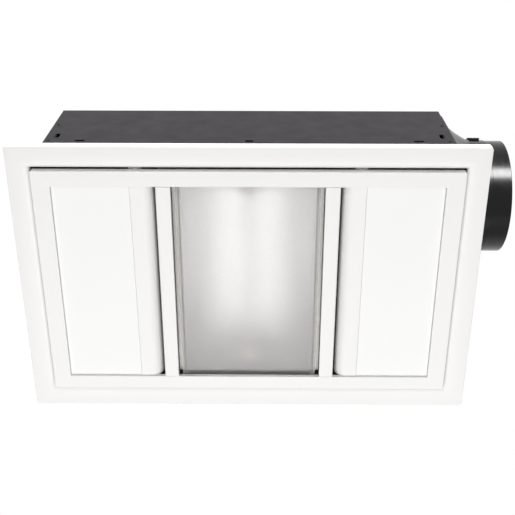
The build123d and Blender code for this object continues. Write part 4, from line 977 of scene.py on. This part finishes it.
def screw_tree():
    """Pan-head screws: a domed head with a cross recess, and a plain shank."""
    tree, given, end = new_tree(
        "pan_head_screws",
        [
            ("Head Radius", "Float"),
            ("Head Height", "Float"),
            ("Recess Width", "Float"),
            ("Shank Radius", "Float"),
            ("Shank Length", "Float"),
            ("Seed", "Int"),
            ("Material", "Material"),
        ],
    )
    radius, height = given["Head Radius"], given["Head Height"]
    ball_radius = number(tree, "MULTIPLY", radius, 1.45)
    ball = add_node(
        tree, "GeometryNodeMeshUVSphere", inputs={"Segments": 28, "Rings": 36, "Radius": ball_radius}
    ).outputs[0]
    ball = move(tree, ball, triple(tree, z=number(tree, "SUBTRACT", height, ball_radius)))
    head = carve(tree, "INTERSECT", ball, drum(tree, radius, number(tree, "MULTIPLY", height, 2.0), 28))
    level = number(tree, "MULTIPLY", height, 0.95)
    for long_side in ("X", "Y"):
        short_side = "Y" if long_side == "X" else "X"
        length = number(tree, "MULTIPLY", radius, 1.15)
        values = {long_side: length, short_side: given["Recess Width"], "Z": height}
        size = add_node(tree, "ShaderNodeCombineXYZ", inputs=values).outputs[0]
        arm = add_node(tree, "GeometryNodeMeshCube", inputs={"Size": size}).outputs[0]
        head = carve(tree, "DIFFERENCE", head, move(tree, arm, triple(tree, z=level)))
    shank = drum(tree, given["Shank Radius"], given["Shank Length"], 20)
    shank = move(tree, shank, triple(tree, z=number(tree, "MULTIPLY", given["Shank Length"], -1.0)))
    whole = add_node(tree, "GeometryNodeJoinGeometry")
    tree.links.new(head, whole.inputs[0])
    tree.links.new(shank, whole.inputs[0])
    placed = place_on_seats(tree, given["Geometry"], whole.outputs[0], given["Seed"])
    close_tree(tree, placed, given["Material"], end)
    return tree


def coil_tree():
    """A wire wound on an axis through the origin, with a straight tail at its far end."""
    tree, given, end = new_tree(
        "wire_coil",
        [
            ("Turns", "Float"),
            ("Pitch", "Float"),
            ("Coil Radius", "Float"),
            ("Wire Radius", "Float"),
            ("Tail", "Float"),
            ("Points", "Int"),
            ("Sides", "Int"),
            ("Start", "Vector"),
            ("Turn", "Vector"),
            ("Material", "Material"),
        ],
    )
    tail_points = 6.0
    count = number(tree, "ADD", given["Points"], tail_points)
    line = add_node(tree, "GeometryNodeMeshLine", inputs={"Count": count}).outputs[0]
    index = add_node(tree, "GeometryNodeInputIndex").outputs[0]
    last = number(tree, "SUBTRACT", given["Points"], 1.0)
    share = number(tree, "DIVIDE", number(tree, "MINIMUM", index, last), last)
    turns = number(tree, "MULTIPLY", share, given["Turns"])
    angle = number(tree, "MULTIPLY", turns, 2 * pi)
    beyond = number(tree, "MAXIMUM", number(tree, "SUBTRACT", index, last), 0.0)
    run = number(tree, "DIVIDE", number(tree, "MULTIPLY", beyond, given["Tail"]), tail_points)
    across, up = number(tree, "COSINE", angle), number(tree, "SINE", angle)
    radius = given["Coil Radius"]
    x = number(tree, "SUBTRACT", number(tree, "MULTIPLY", across, radius), number(tree, "MULTIPLY", up, run))
    y = number(tree, "ADD", number(tree, "MULTIPLY", up, radius), number(tree, "MULTIPLY", across, run))
    z = number(tree, "MULTIPLY", turns, given["Pitch"])
    path = add_node(
        tree, "GeometryNodeSetPosition", inputs={"Geometry": line, "Position": triple(tree, x, y, z)}
    ).outputs[0]
    wire = add_node(tree, "GeometryNodeMeshToCurve", inputs={"Mesh": path}).outputs[0]
    section = add_node(
        tree,
        "GeometryNodeCurvePrimitiveCircle",
        inputs={"Resolution": given["Sides"], "Radius": given["Wire Radius"]},
    ).outputs[0]
    tube = add_node(
        tree, "GeometryNodeCurveToMesh", inputs={"Curve": wire, "Profile Curve": section, "Fill Caps": True}
    ).outputs[0]
    placed = move(tree, tube, given["Start"], given["Turn"])
    close_tree(tree, placed, given["Material"], end)
    return tree


def blade_tree():
    """Curved blades set round the drum that comes in as the base."""
    tree, given, end = new_tree(
        "impeller_blades",
        [
            ("Blades", "Int"),
            ("Root", "Vector"),
            ("Middle", "Vector"),
            ("Tip", "Vector"),
            ("Height", "Float"),
            ("Thickness", "Float"),
            ("Axis Place", "Vector"),
            ("Material", "Material"),
        ],
    )
    arc = add_node(
        tree,
        "GeometryNodeCurveArc",
        {"mode": "POINTS"},
        {"Resolution": 7, "Start": given["Root"], "Middle": given["Middle"], "End": given["Tip"]},
    ).outputs[0]
    edge = add_node(tree, "GeometryNodeCurveToMesh", inputs={"Curve": arc}).outputs[0]
    rise = triple(tree, z=given["Height"])
    values = {"Mesh": edge, "Offset": rise, "Offset Scale": 1.0}
    sheet = add_node(tree, "GeometryNodeExtrudeMesh", {"mode": "EDGES"}, values).outputs[0]
    values = {"Mesh": sheet, "Offset Scale": given["Thickness"], "Individual": False}
    outer = add_node(tree, "GeometryNodeExtrudeMesh", {"mode": "FACES"}, values).outputs[0]
    back = add_node(tree, "GeometryNodeFlipFaces", inputs={"Mesh": sheet}).outputs[0]
    both = add_node(tree, "GeometryNodeJoinGeometry")
    tree.links.new(outer, both.inputs[0])
    tree.links.new(back, both.inputs[0])
    values = {"Geometry": both.outputs[0], "Distance": 1e-6}
    blade = add_node(tree, "GeometryNodeMergeByDistance", inputs=values)
    values = {"Count": given["Blades"], "Offset": (0, 0, 0)}
    points = add_node(tree, "GeometryNodeMeshLine", inputs=values).outputs[0]
    index = add_node(tree, "GeometryNodeInputIndex").outputs[0]
    turn = number(tree, "DIVIDE", number(tree, "MULTIPLY", index, 2 * pi), given["Blades"])
    ring = add_node(
        tree,
        "GeometryNodeInstanceOnPoints",
        inputs={"Points": points, "Instance": blade.outputs[0], "Rotation": triple(tree, z=turn)},
    ).outputs[0]
    ring = move(tree, ring, given["Axis Place"])
    whole = add_node(tree, "GeometryNodeJoinGeometry")
    tree.links.new(ring, whole.inputs[0])
    tree.links.new(given["Geometry"], whole.inputs[0])
    close_tree(tree, whole.outputs[0], given["Material"], end)
    return tree


def lamp_rows_tree():
    """Rows of surface-mounted lamps on the board that comes in as the base."""
    tree, given, end = new_tree(
        "lamp_rows",
        [
            ("Across", "Int"),
            ("Along", "Int"),
            ("Spacing X", "Float"),
            ("Spacing Y", "Float"),
            ("Lamp Size", "Vector"),
            ("Middle", "Vector"),
            ("Package", "Material"),
            ("Phosphor", "Material"),
        ],
    )
    across, along = given["Across"], given["Along"]
    size_x = number(tree, "MULTIPLY", number(tree, "SUBTRACT", across, 1.0), given["Spacing X"])
    size_y = number(tree, "MULTIPLY", number(tree, "SUBTRACT", along, 1.0), given["Spacing Y"])
    values = {"Size X": size_x, "Size Y": size_y, "Vertices X": across, "Vertices Y": along}
    grid = add_node(tree, "GeometryNodeMeshGrid", inputs=values).outputs[0]
    package = add_node(tree, "GeometryNodeMeshCube", inputs={"Size": given["Lamp Size"]}).outputs[0]
    package = add_node(
        tree, "GeometryNodeSetMaterial", inputs={"Geometry": package, "Material": given["Package"]}
    ).outputs[0]
    parts = add_node(tree, "ShaderNodeSeparateXYZ", inputs={"Vector": given["Lamp Size"]}).outputs
    radius = number(tree, "MULTIPLY", parts["Y"], 0.38)
    window = drum(tree, radius, number(tree, "MULTIPLY", parts["Z"], 0.1), 16)
    window = move(tree, window, triple(tree, z=number(tree, "MULTIPLY", parts["Z"], -0.58)))
    window = add_node(
        tree, "GeometryNodeSetMaterial", inputs={"Geometry": window, "Material": given["Phosphor"]}
    ).outputs[0]
    lamp = add_node(tree, "GeometryNodeJoinGeometry")
    tree.links.new(package, lamp.inputs[0])
    tree.links.new(window, lamp.inputs[0])
    values = {"Points": grid, "Instance": lamp.outputs[0]}
    placed = add_node(tree, "GeometryNodeInstanceOnPoints", inputs=values).outputs[0]
    placed = move(tree, placed, given["Middle"])
    whole = add_node(tree, "GeometryNodeJoinGeometry")
    tree.links.new(placed, whole.inputs[0])
    tree.links.new(given["Geometry"], whole.inputs[0])
    close_tree(tree, whole.outputs[0], None, end)
    return tree


class HEATERFAN_OT_rivets(bpy.types.Operator):
    """Set the blind rivets that join the folded sheets"""

    bl_idname = "heater_fan.rivets"
    bl_label = "Rivets"

    def execute(self, context):
        sizes = context.scene.heater_fan_sizes
        seam_x, wall_y, top = 245.0, 152.0, 198.0
        seats = []
        for i, j in CORNERS:
            seats += [((i * seam_x, j * wall_y, z), (0, j, 0)) for z in (16.0, 76.0, 135.5)]
        for i in SIDES:
            seats += [((i * seam_x, y, top), (0, 0, 1)) for y in (-100.0, 0.0, 100.0)]
        values = {
            "Head Radius": sizes.rivet_radius,
            "Head Height": sizes.rivet_height,
            "Seed": 3,
            "Material": finish("black_coated_steel"),
        }
        piece = grow("blind_rivets", rivet_tree(), values, seats_mesh("rivet_seats", seats))
        put(piece, "housing", "black_coated_steel", "housing_rivets")
        return {"FINISHED"}


def round_blower(radius):
    """Four places on a circle round the blower's axis, at 45 degrees to the walls."""
    arm = radius * cos(pi / 4)
    return [(BLOWER[0] + i * arm, BLOWER[1] + j * arm) for i, j in CORNERS]


SCREW_GROUPS = {
    # name: body, node, head radius and height, shank radius and length, seats
    "bezel_screw_set": (
        "housing", "bezel_screws", 3.6, 2.0, 1.9, 8.0,
        [((i * BEZEL_SCREW[0], j * BEZEL_SCREW[1], LUG_LEVEL), (0, 0, -1)) for i, j in CORNERS],
    ),
    "blower_screw_set": (
        "housing", "blower_screws", 4.0, 2.2, 2.0, 12.0,
        [((x, y, 178.0), (0, 0, -1)) for x, y in ((24, 102), (-50, -64), (150, -120), (165, 2.5))],
    ),
    "inlet_screw_set": (
        "housing", "inlet_screws", 3.2, 1.8, 1.25, 6.0,
        [((x, y, 79.6), (0, 0, -1)) for x, y in round_blower(61.0)],
    ),
    "motor_screw_set": (
        "housing", "motor_screws", 3.8, 2.0, 1.9, 8.0,
        [((x, y, 183.8), (0, 0, 1)) for x, y in round_blower(42.0)],
    ),
    "panel_screw_set": (
        "panel", "panel_screws", 3.0, 1.6, 1.4, 4.8,
        [((i * x, j * PANEL_SCREW_Y, -10.2), (0, 0, 1)) for i, j in CORNERS for x in PANEL_SCREW_X],
    ),
    "cover_screw_set": (
        "housing", "cover_screws", 3.2, 1.8, 1.5, 25.0,
        [((-273.0, y, z), (-1, 0, 0)) for y, z in ((-25.0, 113.0), (45.0, 163.0))],
    ),
    "fixing_screw_set": (
        "housing", "fixing_screws", 3.2, 1.8, 1.5, 6.0,
        [((-254.0, y, z), (-1, 0, 0)) for y, z in ((-10.0, 120.0), (38.0, 120.0))]
        + [((-251.0, -16.0, 150.0), (-1, 0, 0)), ((-140.0, 148.8, 150.0), (0, -1, 0))]
        + [((x, 90.0, 194.8), (0, 0, -1)) for x in (-230.0, -118.0)]
        + [((252.6, -62.0 + i * 84.5, 118.5 + j * 60.0), (1, 0, 0)) for i, j in CORNERS],
    ),
}


class HEATERFAN_OT_screws(bpy.types.Operator):
    """Set every group of pan-head screws"""

    bl_idname = "heater_fan.screws"
    bl_label = "Screws"

    def execute(self, context):
        share = context.scene.heater_fan_sizes.recess_share
        tree = screw_tree()
        for seed, (name, group) in enumerate(SCREW_GROUPS.items()):
            body, node, head, height, shank, length, seats = group
            values = {
                "Head Radius": head * MM,
                "Head Height": height * MM,
                "Recess Width": head * share * MM,
                "Shank Radius": shank * MM,
                "Shank Length": length * MM,
                "Seed": seed,
                "Material": finish("zinc_fastener"),
            }
            piece = grow(name, tree, values, seats_mesh(name + "_seats", seats))
            put(piece, body, "zinc_fastener", node)
        return {"FINISHED"}


class HEATERFAN_OT_impeller(bpy.types.Operator):
    """Build the squirrel-cage impeller with its dished hub"""

    bl_idname = "heater_fan.impeller"
    bl_label = "Impeller"

    def execute(self, context):
        sizes = context.scene.heater_fan_sizes
        low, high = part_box("impeller")
        bottom, top = low.z / MM, high.z / MM
        inner, outer, cup = 50.0, 62.0, 39.2
        bm = bmesh.new()

        def place(u, v, level):
            return (BLOWER[0] + u, BLOWER[1] + v, level)

        ring = [(outer + 1, bottom, 0.5), (outer + 1, bottom + 2.4, 0.5)]
        ring += [(outer - 2, bottom + 2.4, 0.5), (outer - 2, bottom, 0.5)]
        add_turned(bm, rounded(ring, 3), 144, place)
        hub = [
            (outer + 1, top - 1.6, 0.5),
            (outer + 1, top, 0.5),
            (cup - 1.2, top, 0.8),
            (cup - 1.2, 119.6, 1.5),
            (9.0, 119.6, 0.5),
            (9.0, 126.0, 0.5),
            (4.0, 126.0, 0),
            (4.0, 106.0, 0),
            (9.0, 106.0, 0.5),
            (9.0, 118.0, 0.5),
            (cup, 118.0, 2.0),
            (cup, top - 1.6, 1.0),
        ]
        add_turned(bm, rounded(hub, 4), 144, place)
        bmesh.ops.recalc_face_normals(bm, faces=bm.faces)
        drum_mesh = bpy.data.meshes.new("impeller_drum")
        bm.to_mesh(drum_mesh)
        bm.free()

        def point(radius, turn):
            return Vector((radius * cos(turn), radius * sin(turn), 0.0)) * MM

        sweep = sizes.blade_sweep
        values = {
            "Blades": sizes.blade_count,
            "Root": point(inner, 0.0),
            "Middle": point((inner + outer) / 2, sweep / 4),
            "Tip": point(outer, sweep),
            "Height": (top - bottom - 0.4) * MM,
            "Thickness": sizes.blade_thickness,
            "Axis Place": Vector((BLOWER[0], BLOWER[1], bottom + 0.2)) * MM,
            "Material": finish("black_impeller"),
        }
        piece = grow("impeller_wheel", blade_tree(), values, drum_mesh)
        put(piece, "impeller", "black_impeller", "impeller")
        return {"FINISHED"}


class HEATERFAN_OT_springs(bpy.types.Operator):
    """Wind the flaps' springs and the lamp's filament from one wire tree"""

    bl_idname = "heater_fan.springs"
    bl_label = "Springs and filament"

    def execute(self, context):
        sizes = context.scene.heater_fan_sizes
        tree = coil_tree()
        spring_start = 24.6
        for side, name in ((-1, "near"), (1, "far")):
            # The far spring is the near one turned over about the duct's axis
            rise = -spring_start * side
            values = {
                "Turns": sizes.spring_turns,
                "Pitch": sizes.spring_pitch,
                "Coil Radius": 0.00195,
                "Wire Radius": sizes.spring_wire,
                "Tail": 0.014,
                "Points": 140,
                "Sides": 10,
                "Start": (Vector(FLAP_PIN) + Vector((0.0, 0.0, rise))) * MM,
                "Turn": Vector((0.0 if side < 0 else pi, 0.0, 0.0)),
                "Material": finish("spring_steel"),
            }
            piece = grow("torsion_spring_" + name, tree, values)
            put(piece, "flap_" + name, "spring_steel", "flap_spring_" + name)
        low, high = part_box("lamp_filament")
        length = high.y - low.y
        turns = length / sizes.lamp_pitch
        values = {
            "Turns": turns,
            "Pitch": sizes.lamp_pitch,
            "Coil Radius": 0.0015,
            "Wire Radius": sizes.lamp_wire,
            "Tail": 0.0,
            "Points": int(turns * 10),
            "Sides": 6,
            "Start": Vector((0.0, high.y, (low.z + high.z) / 2)),
            "Turn": Vector((pi / 2, 0.0, 0.0)),
            "Material": finish("tungsten_coil"),
        }
        piece = grow("filament_coil", tree, values)
        put(piece, "housing", "tungsten_coil", "lamp_filament")
        return {"FINISHED"}


class HEATERFAN_OT_boards(bpy.types.Operator):
    """Fit the light boards with rows of lamps"""

    bl_idname = "heater_fan.boards"
    bl_label = "Light boards"

    def execute(self, context):
        tree = lamp_rows_tree()
        phosphor, shades, shader, place = start_material("lamp_phosphor", Specular_IOR_Level=0.4)
        grain = noise(shades, place, 900.0)
        colour_of(shader, tint(shades, grain, "#E3C23A", "#EFD774"))
        roughness_of(shader, span(shades, grain, 0.35, 0.45))
        thickness, corner, lamp_level = 1.2, 2.0, 1.6
        for name in ("left", "right"):
            node = "led_board_" + name
            low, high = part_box(node)
            middle = (low + high) / 2 / MM
            half = (high - low) / 2 / MM
            bm = bmesh.new()
            corners = [(i * half.x, j * half.y, corner) for i, j in RING]
            outline = [(u + middle.x, v + middle.y) for u, v in rounded(corners)]
            top = high.z / MM
            add_prism(bm, outline, top - thickness, top, upright)
            bmesh.ops.recalc_face_normals(bm, faces=bm.faces)
            base = bpy.data.meshes.new(node + "_base")
            bm.to_mesh(base)
            bm.free()
            base.materials.append(finish("white_board"))
            values = {
                "Across": 4,
                "Along": 12,
                "Spacing X": 0.02,
                "Spacing Y": 0.0205,
                "Lamp Size": Vector((3.5, 2.8, 0.8)) * MM,
                "Middle": Vector((middle.x, middle.y, top - lamp_level)) * MM,
                "Package": finish("white_nylon"),
                "Phosphor": phosphor,
            }
            piece = grow("light_board_" + name, tree, values, base)
            put(piece, "panel", "white_board", node)
        return {"FINISHED"}


class HEATERFAN_OT_finishes(bpy.types.Operator):
    """Give every CAD node that still shows its finish"""

    bl_idname = "heater_fan.finishes"
    bl_label = "Finishes"

    def execute(self, context):
        for name, node in frame["nodes"].items():
            slot = FINISH_OF_NODE.get(name, SLOT_OF[name])
            for k in range(len(node.data.materials)):
                node.data.materials[k] = finish(slot)
        return {"FINISHED"}


# Name, centre, point aimed at, width, height, power in watts, lights matt faces, shows in gloss.
# The strip shines on the duct's mouldings alone and draws the band of light along the tube.
LAMPS = (
    ("key_near", (0.0, -3.60, -2.50), (0.0, 0.0, 0.0), 2.6, 1.4, 38.0, True, False),
    ("fill_below", (0.0, 0.55, -1.60), (0.0, 0.0, 0.0), 2.6, 2.2, 31.0, True, False),
    ("fill_near", (0.0, -2.60, 0.50), (0.0, 0.0, 0.05), 2.0, 0.8, 90.0, True, False),
    ("sheen_far", (0.0, 1.30, -1.70), (0.0, 1.30, 0.0), 2.6, 1.2, 8.0, False, True),
    ("strip_near", (0.53, -0.95, -0.20), (0.53, 0.0, -0.20), 0.9, 0.34, 50.0, False, True),
    ("top_back", (-0.6, 1.4, 1.9), (0.0, 0.0, 0.1), 1.8, 1.2, 45.0, True, True),
)


class HEATERFAN_OT_stage(bpy.types.Operator):
    """Set the camera, the room's floor, the soft lamps and the white surroundings"""

    bl_idname = "heater_fan.stage"
    bl_label = "Stage"

    def execute(self, context):
        scene = context.scene
        scene.view_settings.view_transform = "Standard"
        lens = bpy.data.cameras.new("camera")
        lens.sensor_width = 36.0
        lens.lens = 61.83
        lens.clip_start, lens.clip_end = 0.01, 60.0
        camera = bpy.data.objects.new("camera", lens)
        # Directions of the picture's right and down, and of the line of sight
        right = Vector((0.999966, -0.000377, 0.008223))
        down = Vector((0.004066, 0.891182, -0.453627))
        ahead = Vector((-0.007157, 0.453645, 0.891154))
        turn = Matrix((right, -down, -ahead)).transposed().to_4x4()
        camera.matrix_world = Matrix.Translation((0.01842, -0.51455, -0.94896)) @ turn
        scene.collection.objects.link(camera)
        scene.camera = camera
        self.floor(scene)
        self.surroundings(scene)
        lamps = [self.lamp(*row) for row in LAMPS]
        strip = next(lamp for lamp in lamps if lamp.name == "strip_near")
        moulded = bpy.data.collections.new("duct_mouldings")
        nodes = frame["nodes"]
        for piece in (bpy.data.objects["duct_tube"], nodes["duct_adaptor"], nodes["spigot_clips"]):
            moulded.objects.link(piece)
        strip.light_linking.receiver_collection = moulded
        return {"FINISHED"}

    def floor(self, scene):
        """A plain pale floor far below the ceiling, pale to the eye however little light is on it."""
        mesh = bpy.data.meshes.new("floor")
        reach, level, glow = 14.0, -3.4, 0.62
        corners = [(i * reach, j * reach, level) for i, j in RING]
        mesh.from_pydata(corners, [], [(0, 1, 2, 3)])
        material, tree, shader, place = start_material(
            "floor_paint", Roughness=0.9, Specular_IOR_Level=0.1, Emission_Color=opaque("#FFFFFF")
        )
        colour_of(shader, tint(tree, noise(tree, place, 2.0), "#E4E4E3", "#EAEAE9"))
        seen = number(tree, "MULTIPLY", looked_at(tree), glow)
        tree.links.new(seen, shader.inputs["Emission Strength"])
        mesh.materials.append(material)
        floor = bpy.data.objects.new("floor", mesh)
        scene.collection.objects.link(floor)

    def surroundings(self, scene):
        """White to look at and in reflections, and softer as a light."""
        world = bpy.data.worlds.new("surroundings")
        scene.world = world
        world.use_nodes = True
        tree = world.node_tree
        tree.nodes.clear()
        values = {0: looked_at(tree)}
        for socket, strength in ((1, 0.14), (2, 1.0)):
            shade = {"Color": opaque("#FFFFFF"), "Strength": strength}
            values[socket] = add_node(tree, "ShaderNodeBackground", inputs=shade).outputs[0]
        mixed = add_node(tree, "ShaderNodeMixShader", inputs=values)
        add_node(tree, "ShaderNodeOutputWorld", inputs={"Surface": mixed.outputs[0]})

    def lamp(self, name, place, aim, width, height, power, matt, gloss):
        """A soft rectangular lamp, aimed at a point."""
        light = bpy.data.lights.new(name, "AREA")
        light.shape = "RECTANGLE"
        light.size, light.size_y = width, height
        light.energy = power
        lamp = bpy.data.objects.new(name, light)
        turn = (Vector(aim) - Vector(place)).to_track_quat("-Z", "Z")
        lamp.matrix_world = Matrix.Translation(place) @ turn.to_matrix().to_4x4()
        lamp.visible_camera = False
        lamp.visible_diffuse = matt
        lamp.visible_glossy = gloss
        lamp.visible_transmission = not gloss
        bpy.context.scene.collection.objects.link(lamp)
        return lamp


PIECES = (
    HEATERFAN_OT_finishes,
    HEATERFAN_OT_bezel,
    HEATERFAN_OT_panel,
    HEATERFAN_OT_duct,
    HEATERFAN_OT_rivets,
    HEATERFAN_OT_screws,
    HEATERFAN_OT_impeller,
    HEATERFAN_OT_springs,
    HEATERFAN_OT_boards,
    HEATERFAN_OT_stage,
)


class HEATERFAN_PT_sidebar(bpy.types.Panel):
    """Lists the pieces, their sizes and their colours"""

    bl_idname = "HEATERFAN_PT_sidebar"
    bl_label = "Bathroom Heater Fan Light"
    bl_space_type = "VIEW_3D"
    bl_region_type = "UI"
    bl_category = "Heater Fan"

    def draw(self, context):
        for group in (context.scene.heater_fan_sizes, context.scene.heater_fan_colours):
            column = self.layout.column()
            for name in group.__annotations__:
                column.prop(group, name)
        for piece in PIECES:
            self.layout.operator(piece.bl_idname)


CLASSES = (HeaterFanSizes, HeaterFanColours, *PIECES, HEATERFAN_PT_sidebar)


def register():
    for cls in CLASSES:
        bpy.utils.register_class(cls)
    bpy.types.Scene.heater_fan_sizes = PointerProperty(type=HeaterFanSizes)
    bpy.types.Scene.heater_fan_colours = PointerProperty(type=HeaterFanColours)


def unregister():
    del bpy.types.Scene.heater_fan_sizes
    del bpy.types.Scene.heater_fan_colours
    for cls in reversed(CLASSES):
        bpy.utils.unregister_class(cls)


def main():
    register()
    for piece in PIECES:
        group, name = piece.bl_idname.split(".")
        getattr(getattr(bpy.ops, group), name)()


if __name__ == "__main__":
    main()
